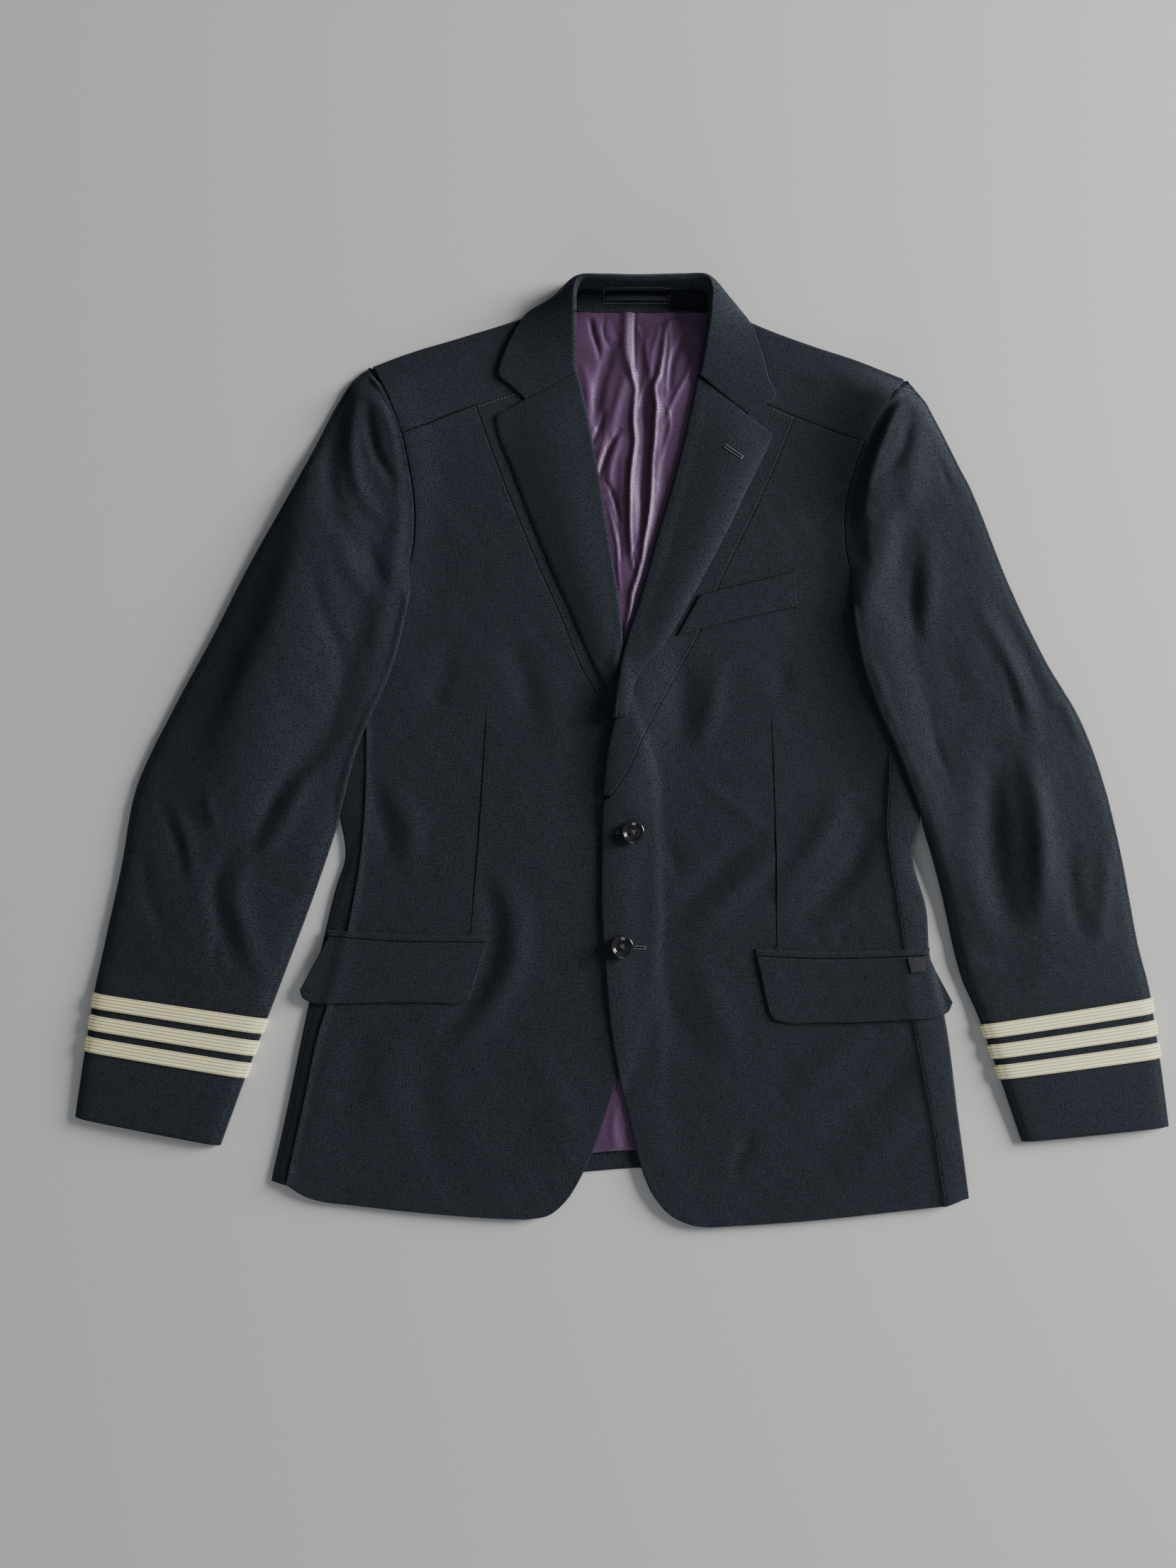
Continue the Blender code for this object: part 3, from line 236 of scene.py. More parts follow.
def with_close_edges(grid):
    """The grid again with two more rows and columns just inside each border, so that an
    edge can round over within a millimetre or two."""
    def places(count):
        near = np.array([0.0, 0.16, 0.42])
        return np.concatenate([near, np.arange(1, count - 1), count - 1 - near[::-1]])
    for axis in (0, 1):
        at = places(grid.shape[axis])
        low = np.clip(np.floor(at).astype(int), 0, grid.shape[axis] - 2)
        share = (at - low)[:, None, None] if axis == 0 else (at - low)[None, :, None]
        grid = np.take(grid, low, axis) * (1 - share) + np.take(grid, low + 1, axis) * share
    return grid


def border_distances(grid):
    """Distance in mm from the start, end, first and last border, along the grid's lines."""
    rows = np.linalg.norm(np.diff(grid[..., :2], axis=0), axis=2)
    columns = np.linalg.norm(np.diff(grid[..., :2], axis=1), axis=2)
    down = np.concatenate([np.zeros((1, grid.shape[1])), np.cumsum(rows, axis=0)])
    along = np.concatenate([np.zeros((grid.shape[0], 1)), np.cumsum(columns, axis=1)], axis=1)
    return down, down[-1:] - down, along, along[:, -1:] - along


def roll_down(distance, radius, depth):
    """How far cloth drops near an edge: a quarter circle of the given radius and depth."""
    share = np.clip(1 - distance / radius, 0.0, 1.0)
    return depth * (1 - np.sqrt(1 - share**2))


def drop_edges(grid, start=(1.0, 0.4), end=(1.0, 0.4), first=(1.0, 0.4), last=(1.0, 0.4)):
    """Height lost at the borders, each given as radius and depth in mm."""
    total = np.zeros(grid.shape[:2])
    for distance, (radius, depth) in zip(border_distances(grid), (start, end, first, last)):
        if depth > 0.0:
            total = np.maximum(total, roll_down(distance, radius, depth))
    return total


CELL = 1.5
PILE_LEFT, PILE_LOW = -500.0, -450.0
pile = np.zeros((600, 670))


def bilinear(field, x, y):
    """Value of a plan raster between its cells."""
    column = np.clip((x - PILE_LEFT) / CELL - 0.5, 0, field.shape[1] - 1.001)
    row = np.clip((y - PILE_LOW) / CELL - 0.5, 0, field.shape[0] - 1.001)
    j, i = column.astype(int), row.astype(int)
    u, v = column - j, row - i
    return ((1 - u) * (1 - v) * field[i, j] + u * (1 - v) * field[i, j + 1]
            + (1 - u) * v * field[i + 1, j] + u * v * field[i + 1, j + 1])


def pile_add(grid):
    """Marks a laid skin's heights in the pile, at four by four points for each quad."""
    row, column = np.arange(grid.shape[0] - 1), np.arange(grid.shape[1] - 1)
    for a in (0.0, 0.25, 0.5, 0.75):
        rows = grid[row] * (1 - a) + grid[row + 1] * a
        for b in (0.0, 0.25, 0.5, 0.75):
            p = rows[:, column] * (1 - b) + rows[:, column + 1] * b
            i = np.clip(((p[..., 1] - PILE_LOW) / CELL).astype(int), 0, pile.shape[0] - 1)
            j = np.clip(((p[..., 0] - PILE_LEFT) / CELL).astype(int), 0, pile.shape[1] - 1)
            np.maximum.at(pile, (i.ravel(), j.ravel()), p[..., 2].ravel())


def support(reach, soften):
    """The pile as a sheet feels it: the highest cell within reach, then blurred by three
    box means of the given half width, both in cells."""
    field = pile.copy()
    for axis in (0, 1):
        spread = field.copy()
        for step in range(1, reach + 1):
            spread = np.maximum(spread, np.maximum(np.roll(field, step, axis),
                                                   np.roll(field, -step, axis)))
        field = spread
    width = 2 * soften + 1
    for _ in range(3):
        for axis in (0, 1):
            total = np.cumsum(np.concatenate([np.take(field, [0] * (soften + 1), axis), field,
                                              np.take(field, [-1] * soften, axis)], axis), axis)
            ahead = np.take(total, np.arange(width, total.shape[axis]), axis)
            behind = np.take(total, np.arange(0, total.shape[axis] - width), axis)
            field = (ahead - behind) / width
    return field


def laid(plan, wanted, reach=3, soften=2):
    """Underside heights of a sheet: the wanted ones or the pile's, whichever is higher, with
    a soft turn from one to the other."""
    under = bilinear(support(reach, soften), plan[..., 0], plan[..., 1]) + GAP
    bare = under <= GAP + 1e-6
    soft = (wanted + under + np.sqrt((wanted - under)**2 + 0.16)) / 2 - 0.1
    return np.where(bare, wanted, np.maximum(soft, under))


def normals(grid):
    """Unit normals of a grid, by crossing its two directions, turned so that the highest
    part of the sheet faces up."""
    across, along = np.gradient(grid, axis=1), np.gradient(grid, axis=0)
    normal = np.cross(across, along)
    normal /= np.maximum(np.linalg.norm(normal, axis=2, keepdims=True), 1e-9)
    high = grid[..., 2] >= np.quantile(grid[..., 2], 0.7)
    return -normal if normal[high][:, 2].mean() < 0 else normal


def shell(name, outer, thickness, material, nodes, grain=0.0):
    """A sheet of cloth as one closed wall: the outer skin, an inner one set in along the
    normals, and a rounded rim round the four borders. The cloth map runs with the grain."""
    n, m = outer.shape[:2]
    normal = normals(outer)
    inner = outer - thickness * normal
    index = np.arange(n * m).reshape(n, m)
    border = np.concatenate([index[:, 0], index[-1, 1:], index[-2::-1, -1], index[0, -2:0:-1]])
    inward = np.concatenate([index[:, 1], index[-2, 1:], index[-2::-1, -2], index[1, -2:0:-1]])
    flat_outer, flat_normal = outer.reshape(-1, 3), normal.reshape(-1, 3)
    away = flat_outer[border] - flat_outer[inward]
    away /= np.maximum(np.linalg.norm(away, axis=1, keepdims=True), 1e-9)
    rim = [flat_outer[border] + thickness * (0.38 * away - 0.5 * flat_normal[border])]
    points = np.vstack([flat_outer, inner.reshape(-1, 3)] + rim)
    a, b, c, d = index[:-1, :-1], index[1:, :-1], index[1:, 1:], index[:-1, 1:]
    skin = np.stack([a, b, c, d], axis=-1).reshape(-1, 4)
    corner = flat_outer[skin[:, 1]] - flat_outer[skin[:, 0]]
    side = flat_outer[skin[:, 3]] - flat_outer[skin[:, 0]]
    if np.sum(np.cross(corner, side) * flat_normal[skin[:, 0]]) < 0:
        skin = skin[:, ::-1]
        border = border[::-1]
        rim_index = 2 * n * m + np.arange(len(border))[::-1]
    else:
        rim_index = 2 * n * m + np.arange(len(border))
    after, rim_after = np.roll(border, -1), np.roll(rim_index, -1)
    faces = np.vstack([skin, skin[:, ::-1] + n * m,
                       np.stack([after, border, rim_index, rim_after], axis=1),
                       np.stack([rim_after, rim_index, border + n * m, after + n * m], axis=1)])
    return add_piece(name, points, faces, material, nodes, cloth_map(outer, grain, border),
                     smooth=True)


def cloth_map(outer, grain, border):
    """Cloth coordinates in metres: the plan position turned by the grain's angle, plus the
    depth on steep sides."""
    x, y = outer[..., 0] + 0.7 * outer[..., 2], outer[..., 1] + 0.3 * outer[..., 2]
    turned = np.dstack([x * math.cos(grain) + y * math.sin(grain),
                        y * math.cos(grain) - x * math.sin(grain)]).reshape(-1, 2) * MM
    return np.vstack([turned, turned, turned[border]])


def add_piece(name, points, faces, material, nodes, coordinates=None, smooth=True):
    """Makes a mesh from points in mm and quads, and ties it to the body and its nodes."""
    points = np.asarray(points, float) + np.array([0.0, TABLE_Y, 0.0])
    mesh = bpy.data.meshes.new(name)
    faces = faces.tolist() if isinstance(faces, np.ndarray) else faces
    mesh.from_pydata((points * MM).tolist(), [], faces)
    if coordinates is not None:
        layer = mesh.uv_layers.new(name="cloth")
        loops = np.zeros(len(mesh.loops), np.int32)
        mesh.loops.foreach_get("vertex_index", loops)
        layer.data.foreach_set("uv", coordinates[loops].astype(np.float32).ravel())
    mesh.polygons.foreach_set("use_smooth", np.full(len(mesh.polygons), smooth))
    mesh.materials.append(material)
    piece = bpy.data.objects.new(name, mesh)
    bpy.context.scene.collection.objects.link(piece)
    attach(piece, "root")
    if nodes:
        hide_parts(*nodes)
    return piece


rows, columns = 100, 70
plan = patch(curve(BACK_SIDE_RIGHT, rows), curve(BACK_SIDE_LEFT, rows),
             curve(BACK_HEM, columns), curve(BACK_TOP, columns))
plan = with_close_edges(plan)
back_top = np.dstack([plan, np.full(plan.shape[:2], WOOL)])
back = shell("back_panel", back_top, WOOL, wool, ["back"])
pile_add(back_top)

# ---------------------------------------------------------------------------------------
# Back lining: thin shot satin in burgundy and lavender, felled to the inside of the back.
# It lies loose, so it crumples into long ridges that run together down the neck opening.

LINING = 1.0
LINING_RIGHT = ((-52, -362), (-40, -330), (-34, -250), (-30, -100), (-28, 60), (-30, 120),
                (-36, 170), (-42, 220), (-50, 273), (-53, 330), (-50, 378))
LINING_LEFT = ((30, -354), (30, -330), (30, -250), (28, -100), (30, 60), (40, 120), (54, 170),
               (68, 220), (78, 273), (86, 330), (86, 378))
# Columns: path of the crest or trough, half width, height (a trough is negative)
LINING_CREASES = (
    (((8, 334), (10, 321), (13, 309), (12, 298), (11, 280), (12, 259), (10, 246), (8, 229),
      (7, 204), (7, 184), (8, 164), (10, 147)), 2.2, 2.6),
    (((7, 389), (5, 363), (5, 345), (7, 331), (11, 317)), 4.2, 2.2),
    (((14, 384), (13, 363), (13, 345), (13, 325)), 1.4, -1.3),
    (((12, 251), (10, 229), (10, 204), (10, 184), (11, 161)), 5.0, 1.87),
    (((44, 374), (40, 359), (38, 342), (36, 331), (34, 321), (30, 312), (30, 303), (31, 294),
      (30, 280), (29, 263), (27, 245), (26, 225), (25, 208), (23, 191), (20, 174), (18, 158),
      (14, 142), (9, 127), (7, 113), (4, 98), (2, 85)), 2.4, 2.88),
    (((34, 321), (34, 298), (33, 270), (31, 239), (28, 211), (25, 188), (22, 166)), 4.5, 2.02),
    (((35, 367), (32, 354), (28, 341), (27, 327), (27, 316)), 1.7, 0.75),
    (((44, 370), (44, 349), (42, 328), (41, 312), (40, 298)), 1.7, 0.75),
    (((39, 298), (43, 285), (43, 273), (39, 259), (35, 243)), 1.8, 0.75),
    (((40, 380), (49, 370), (61, 362), (69, 353)), 7.0, 0.6),
    (((60, 364), (53, 350), (47, 336), (44, 320), (43, 306)), 3.0, -1.4),
    (((66, 345), (60, 324), (51, 307), (44, 292), (39, 277)), 2.2, 1.2),
    (((53, 377), (41, 371), (30, 367), (16, 364)), 2.6, -1.0),
    (((16, 375), (18, 335), (20, 298), (21, 256), (19, 215), (18, 177)), 5.0, -1.7),
    (((23, 323), (19, 309), (14, 291)), 2.0, 0.9),
    (((15, 367), (18, 357), (18, 346)), 1.7, 0.5),
    (((22, 356), (24, 334), (26, 314)), 2.2, 0.8),
    (((9, 341), (16, 340), (26, 341)), 0.9, -0.25),
    (((21, 298), (20, 284), (24, 267)), 1.5, -0.4),
    (((-27, 374), (-24, 359), (-20, 346), (-18, 335)), 2.2, -1.5),
    (((-23, 377), (-19, 360), (-15, 342)), 3.0, 0.6),
    (((-13, 375), (-15, 363), (-13, 353), (-8, 346)), 1.4, -0.8),
    (((-8, 372), (-5, 361), (-1, 348)), 3.0, -0.5),
    (((-5, 353), (-12, 334), (-18, 314), (-21, 295), (-24, 273)), 5.5, -2.6),
    (((4, 323), (-1, 303), (-6, 284), (-10, 265)), 4.0, 1.3),
    (((-34, 334), (-29, 312), (-27, 290), (-26, 270)), 4.0, 1.0),
    (((-14, 290), (-19, 274), (-26, 258)), 2.4, -1.7),
    (((-11, 278), (-15, 262), (-20, 243), (-22, 226)), 2.4, 0.9),
    (((0, 274), (-9, 259), (-15, 244), (-21, 226)), 2.2, -1.7),
    (((0, 267), (-6, 251), (-10, 234), (-10, 215)), 3.2, 1.4),
    (((1, 251), (1, 229), (0, 204), (2, 182)), 2.6, 0.65),
    (((-13, 226), (-8, 215), (-4, 202), (-1, 188)), 2.2, -1.5),
    (((-20, 202), (-13, 210), (-5, 218)), 1.1, -0.4),
    (((-17, 194), (-10, 199), (-2, 203)), 1.1, -0.35),
    (((-12, 207), (-8, 188), (-4, 169), (-3, 147), (-1, 126)), 1.8, 0.8),
    (((-4, 194), (-1, 174), (0, 153)), 2.0, -0.6),
    (((16, 174), (11, 164), (8, 153)), 1.4, -0.45),
    (((10, 166), (14, 154), (14, 142)), 1.4, 0.55),
    (((-8, -317), (-10, -341), (-7, -354)), 4.0, 0.9),
    (((-1, -335), (1, -354)), 3.5, -0.6),
)


def creases(x, y, table, fall=0.85):
    """Soft ridges and troughs: a bell curve of the distance from each path, tapering to
    nothing at both its ends as sin(share)^fall. The paths are smooth curves through the
    table's points."""
    total = np.zeros(x.shape)
    for path, width, height in table:
        length = np.linalg.norm(np.diff(np.array(path, float), axis=0), axis=1).sum()
        count = max(int(length / 1.4), 8)
        line = curve(path, count) if len(path) > 2 else np.linspace(path[0], path[1], count)
        taper = np.clip(np.sin(np.linspace(0.0, math.pi, len(line))), 0.0, 1.0)**fall
        low, high = line.min(axis=0) - 3 * width, line.max(axis=0) + 3 * width
        near = (x > low[0]) & (x < high[0]) & (y > low[1]) & (y < high[1])
        if not near.any():
            continue
        gap = (x[near][:, None] - line[None, :, 0])**2 + (y[near][:, None] - line[None, :, 1])**2
        nearest = gap.argmin(axis=1)
        total[near] += height * taper[nearest] * np.exp(-gap.min(axis=1) / width**2)
    return total


def ripples(x, y, seed, size, height):
    """Faint unevenness of cloth that has been worn: a few seeded sine waves added up."""
    draw = np.random.default_rng(seed)
    total = np.zeros(x.shape)
    for _ in range(7):
        angle, phase = draw.uniform(0, math.pi), draw.uniform(0, 2 * math.pi)
        wave = 2 * math.pi / (size * draw.uniform(0.6, 1.8))
        total += np.sin((x * math.cos(angle) + y * math.sin(angle)) * wave + phase
                        + 0.8 * np.sin(y * wave * 0.37 + phase))
    return total * height / 7


def satin_material():
    """Shot satin: burgundy and lavender, mixed by how far the cloth leans towards the key light
    (an attribute of the mesh), so lit flanks are painted lighter lavender and shaded ones darker
    burgundy: painted light and shade over the satin's own shot colour. Fine cross ribs and a soft
    gloss."""
    material = bpy.data.materials.new("shot_satin")
    material.use_nodes = True
    tree = material.node_tree
    shader = tree.nodes["Principled BSDF"]
    cloth = tree.nodes.new("ShaderNodeUVMap")
    cloth.uv_map = "cloth"
    group = tree.nodes.new("ShaderNodeGroup")
    group.node_tree = WEAVE
    group.inputs["Yarns per metre"].default_value = 1100.0
    group.inputs["Slub"].default_value = 0.6
    tree.links.new(cloth.outputs[0], group.inputs["Cloth"])
    # The lean towards the key light paints light and shade into the colour.
    lean = tree.nodes.new("ShaderNodeAttribute")
    lean.attribute_name = "lean"
    streaks = noise(tree, cloth.outputs[0], 1.0, 2.0, (60.0, 14.0, 1.0))
    share = maths(tree, "ADD", lean.outputs["Fac"],
                  maths(tree, "MULTIPLY", maths(tree, "SUBTRACT", streaks, 0.5), 0.5))
    share = maths(tree, "ADD", share, maths(tree, "MULTIPLY", maths(
        tree, "SUBTRACT", group.outputs["Lightness"], 0.5), 0.25))
    split = tree.nodes.new("ShaderNodeSeparateXYZ")
    tree.links.new(cloth.outputs[0], split.inputs[0])
    ribs = maths(tree, "SINE", maths(tree, "MULTIPLY", split.outputs[1], 2 * math.pi * 760.0))
    share = maths(tree, "ADD", share, maths(tree, "MULTIPLY", ribs, 0.05))
    clamp = tree.nodes.new("ShaderNodeClamp")
    tree.links.new(share, clamp.inputs[0])
    # Dark burgundy on shaded flanks, light lavender on lit flanks: painted shade and painted light.
    colour = blend_colour(tree, clamp.outputs[0], (0.048, 0.016, 0.029, 1.0),
                          (0.128, 0.076, 0.170, 1.0))
    tree.links.new(colour, shader.inputs["Base Color"])
    rough = maths(tree, "ADD", maths(tree, "MULTIPLY", streaks, 0.12), 0.28)
    tree.links.new(rough, shader.inputs["Roughness"])
    bump = tree.nodes.new("ShaderNodeBump")
    bump.inputs["Strength"].default_value = 0.3
    bump.inputs["Distance"].default_value = 0.0002
    tree.links.new(maths(tree, "ADD", maths(tree, "MULTIPLY", group.outputs["Height"], 0.5), ribs),
                   bump.inputs["Height"])
    tree.links.new(bump.outputs[0], shader.inputs["Normal"])
    shader.inputs["Specular IOR Level"].default_value = 0.3
    shader.inputs["Sheen Weight"].default_value = 0.12
    shader.inputs["Sheen Roughness"].default_value = 0.35
    shader.inputs["Sheen Tint"].default_value = (0.75, 0.6, 1.0, 1.0)
    return material


def painted_light_attribute(piece, outer):
    """How far each point of a skin leans towards the key light, from 0 to 1: the mask that
    paints light and shade into the satin's colour.
    """
    normal = normals(outer)
    # Facing +X and +Y, towards the key light, gives the lit colour: painted light and shade.
    lean = np.clip(0.40 + 0.6 * normal[..., 0] + 0.2 * normal[..., 1], 0.0, 1.0).ravel()
    count = len(piece.data.vertices)
    values = np.full(count, 0.35, np.float32)
    values[:len(lean)] = lean
    piece.data.attributes.new("lean", "FLOAT", "POINT").data.foreach_set("value", values)


satin = satin_material()
places = np.concatenate([np.arange(0, 75, 3), np.arange(75, 540, 15), np.arange(540, 899, 2),
                         [899]])
columns = 110
plan = patch(curve(LINING_RIGHT, 900)[places], curve(LINING_LEFT, 900)[places],
             curve((LINING_RIGHT[0], (-28, -357), (8, -354.5), LINING_LEFT[0]), columns),
             curve((LINING_RIGHT[-1], (16, 377.5), LINING_LEFT[-1]), columns))
plan = with_close_edges(plan)
x, y = plan[..., 0], plan[..., 1]
relief = creases(x, y, LINING_CREASES, 0.4) + ripples(x, y, 4, 22.0, 0.7)
loose = WOOL + GAP + 0.9 + 1.3 * np.clip((y - 90.0) / 60.0, 0.0, 1.0)
lining_top = np.dstack([plan, np.maximum(laid(plan, loose + relief, 1, 1), WOOL + GAP) + LINING])
lining = shell("back_lining_satin", lining_top, LINING, satin, ["back_lining"])
painted_light_attribute(lining, lining_top)
pile_add(lining_top)

# ---------------------------------------------------------------------------------------
# Neck facing and hanger loop: a strip of the wool across the back of the neck above the
# lining, with a narrow tape loop whose ends are caught in a stitched box.

FACING_LOW = ((-37.4, 379.4), (16, 378.8), (76, 379.4))
FACING_HIGH = ((-42, 392), (-37, 400), (16, 400), (75, 400), (81, 391))
LOOP_LEFT, LOOP_RIGHT, LOOP_LOW, LOOP_HIGH = -13.0, 43.0, 388.4, 393.0

plan = with_close_edges(leaf(curve(FACING_LOW, 70), curve(FACING_HIGH, 70), np.linspace(0, 1, 10)))
top = np.dstack([plan, laid(plan, np.full(plan.shape[:2], 2.2), 1, 1) + WOOL])
facing = shell("neck_facing_strip", top, WOOL, wool, ["neck_facing"])
pile_add(top)

tape = cloth_material("hanger_tape", (0.010, 0.012, 0.015, 1.0), (0.040, 0.044, 0.052, 1.0),
                      0.6, 900.0, 0.5, 0.6, 0.1, (0.6, 0.6, 0.7, 1.0))
across = np.linspace(LOOP_LEFT, LOOP_RIGHT, 60)
plan = with_close_edges(leaf(np.column_stack([across, np.full(60, LOOP_LOW)]),
                             np.column_stack([across, np.full(60, LOOP_HIGH)]),
                             np.linspace(0, 1, 6)))
arch = np.sin(math.pi * (plan[..., 0] - LOOP_LEFT) / (LOOP_RIGHT - LOOP_LEFT))
top = np.dstack([plan, laid(plan, 4.2 + 1.2 * arch, 1, 1) + 1.1])
top[..., 2] -= drop_edges(plan, (0.8, 0.4), (0.8, 0.4), (0.8, 0.5), (0.8, 0.5))
loop = shell("hanger_tape_loop", top, 1.1, tape, ["hanger_loop"])
pile_add(top)


# ---------------------------------------------------------------------------------------
# Side panels: each runs from the side seam on the front, round the side fold and under,
# where it meets the back. Cut from the wool with no side seam at the fold.

BODY_TOP = 6.0
FOLD_REACH = 3.5
SIDE_UNDER = 24.0
# Columns of the fold and the seam: x, y
SIDE_FOLD_RIGHT = ((-302, -378), (-292, -333), (-277, -258), (-271, -228), (-257, -165),
                   (-248, -128), (-241, -106), (-246, -67), (-254, -20), (-262, 30), (-267, 72))
SIDE_FOLD_LEFT = ((295, -398), (286, -326), (276, -243), (264, -188), (262, -150),
                  (252, -112), (251, -101), (255, -88), (262, -40), (272, 20), (280, 71))
SIDE_SEAM_RIGHT = ((-289, -381), (-273, -306), (-261, -249), (-254, -227), (-238, -165),
                   (-226, -92), (-223, -37), (-223, 30), (-222, 100))
SIDE_SEAM_LEFT = ((274, -404), (265, -343), (248, -245), (239, -161), (232, -112),
                  (229, -85), (231, -39), (233, 30), (235, 98))
# Columns: path of the crest or trough, half width, height
SHOULDER_RISE = (
    (((276, 385), (258, 330), (238, 288), (226, 250), (220, 200)), 50, 14.5),
    (((266, 372), (248, 318), (225, 265), (215, 195), (210, 110), (221, 41), (246, -26),
      (270, -86)), 24, 7.0),
    (((200, 120), (222, 20), (252, -60), (266, -150)), 42, 4.5),
    (((-246, 372), (-223, 320), (-193, 279), (-185, 231)), 45, 4.0),
    (((-246, 372), (-223, 320), (-190, 265), (-183, 217), (-192, 136), (-215, 55)), 18, 3.5),
)
FRONT_CREASES = (
    (((37, 98), (15, 48), (2, -12), (-4, -78)), 24, 7.5),
    (((4, 1), (-4, -105), (-8, -197), (-8, -301)), 13, 2.6),
    (((54, -52), (30, -158), (36, -288), (41, -391)), 30, -1.5),
    (((-147, 87), (-158, 50), (-166, 16)), 10, -1.6),
    (((-102, 87), (-86, 52), (-84, 15)), 11, -2.0),
    (((-68, 68), (-58, 18), (-61, -25)), 14, 1.6),
    (((-205, -40), (-183, -80), (-186, -120)), 10, 2.5),
    (((-219, -43), (-205, -80), (-208, -113)), 8, -1.8),
    (((-116, -114), (-94, -154), (-93, -190), (-113, -232), (-150, -271)), 11, 3.2),
    (((-130, -108), (-113, -150), (-115, -190), (-137, -232), (-165, -268)), 9, -2.5),
    (((-195, -244), (-204, -292), (-207, -339)), 16, 1.6),
    (((-171, -250), (-171, -316), (-140, -393)), 14, -1.4),
    (((-74, -268), (-56, -322), (-50, -370)), 16, 1.4),
    (((-250, -243), (-258, -303), (-270, -374)), 14, 1.4),
    (((-172, 212), (-147, 174), (-135, 131)), 22, 1.4),
    (((50, 83), (52, 36), (49, -13)), 12, -2.9),
    (((83, 67), (80, 33), (65, -13)), 9, 2.2),
    (((138, 67), (142, 33)), 9, -1.4),
    (((65, -38), (99, -63), (121, -79)), 4, 1.8),
    (((141, -92), (113, -120), (86, -144), (54, -169)), 9, 3.6),
    (((124, -82), (92, -107), (64, -132), (38, -158)), 8, -2.9),
    (((193, -42), (172, -88), (145, -121), (126, -138)), 12, 3.6),
    (((217, -69), (200, -112), (171, -144), (145, -168)), 10, -3.6),
    (((34, -84), (44, -108), (50, -130)), 6, -1.6),
    (((214, -251), (175, -282), (137, -313)), 13, 2.7),
    (((250, -276), (211, -312), (167, -337)), 12, -2.5),
    (((255, -330), (217, -349), (179, -373)), 12, 2.0),
    (((109, -340), (90, -377)), 6, -1.6),
    (((12, -207), (42, -251), (75, -287)), 14, -2.2),
    (((64, -185), (78, -233), (99, -269)), 14, 2.0),
    (((168, -172), (169, -182)), 3, -0.9),
    (((186, -171), (187, -182)), 3, -0.9),
    (((202, -170), (203, -182)), 3, -0.9),
    (((11, -281), (23, -341), (46, -400)), 16, 1.3),
    (((262, -40), (272, -200), (290, -400)), 80, 6.5),
)
# The line over both shoulders and down the sleeve heads, where the front turns to the back
SHOULDER_LINE = ((-314, 170), (-296, 206), (-272, 251), (-253, 290), (-236, 316.5), (-217.5, 326.5),
                 (-190, 337), (-141, 352), (-88, 369), (0, 400), (92, 380), (119, 365), (173, 344),
                 (204, 334), (250.4, 315.4), (268, 301), (281, 277), (298, 243), (314, 209))
SEAM = (1.2, 0.45)
EDGE = (1.4, 0.5)


def padded_shoulder(x, y):
    """Rise of the padded shoulders: broad ridges, fading to nothing at the shoulder line
    as a quarter sine over 32 mm."""
    line = np.array(SHOULDER_LINE)
    share = np.clip((np.interp(x, line[:, 0], line[:, 1]) - y) / 32.0, 0.0, 1.0)
    return creases(x, y, SHOULDER_RISE) * np.sin(share * math.pi / 2)


def body_top(x, y):
    """Top of the front's panels before they meet what lies under them."""
    return (BODY_TOP + padded_shoulder(x, y) + creases(x, y, FRONT_CREASES)
            + ripples(x, y, 11, 60.0, 0.5) + ripples(x, y, 12, 24.0, 0.3))


def outward_of(edge, inside):
    """Unit directions that point away from the inside, square to an edge's run."""
    tangent = np.gradient(edge, axis=0)
    normal = np.column_stack([tangent[:, 1], -tangent[:, 0]])
    normal /= np.maximum(np.linalg.norm(normal, axis=1, keepdims=True), 1e-9)
    return normal * np.sign(np.sum(normal * (edge - inside), axis=1, keepdims=True))


def nose(top, low, outward, reach, steps=9):
    """Round edge of a fold: half an ellipse from the upper leaf's edge to the lower one's."""
    angle = np.linspace(math.pi / 2, -math.pi / 2, steps + 2)[1:-1]
    middle, half = (top + low) / 2, (top[:, 2] - low[:, 2]) / 2
    rings = np.repeat(middle[:, None], steps, axis=1)
    rings[..., :2] += (outward * reach)[:, None] * np.cos(angle)[None, :, None]
    rings[..., 2] = middle[:, None, 2] + half[:, None] * np.sin(angle)[None]
    return rings


def side_panel(name, fold_points, seam_points, node):
    """Side panel: straight rows from the seam to the fold on top, the fold's round edge,
    and the same rows back on the surface."""
    rows = 150
    fold, seam = curve(fold_points, rows), curve(seam_points, rows)
    outward = outward_of(fold, seam)
    edge = fold - outward * FOLD_REACH
    shares = np.concatenate([[0.0, 0.03, 0.08], np.linspace(0.16, 1.0, 10)])
    plan = leaf(seam, edge, shares)
    top = np.dstack([plan, body_top(plan[..., 0], plan[..., 1])])
    top[..., 2] -= roll_down(border_distances(plan)[2], *SEAM) + 2.2 * shares[None]**2
    level = np.array([-np.sign(fold[0, 0]), 0.0])
    low = leaf(edge, fold + level * SIDE_UNDER, np.linspace(0.0, 1.0, 6))
    low = np.dstack([low, np.zeros(low.shape[:2])])
    outer = np.concatenate([top, nose(top[:, -1], low[:, 0], outward, FOLD_REACH), low], axis=1)
    piece = shell(name, outer, WOOL, wool, [node])
    pile_add(outer)
    return piece


side_panel("side_panel_right", SIDE_FOLD_RIGHT, SIDE_SEAM_RIGHT, "side_right")
side_panel("side_panel_left", SIDE_FOLD_LEFT, SIDE_SEAM_LEFT, "side_left")

# ---------------------------------------------------------------------------------------
# Fronts, bands and yokes: each front is cut in three, a main panel, a shaped band beside
# the lapel and a yoke over the shoulder, seamed together and topstitched along the band.

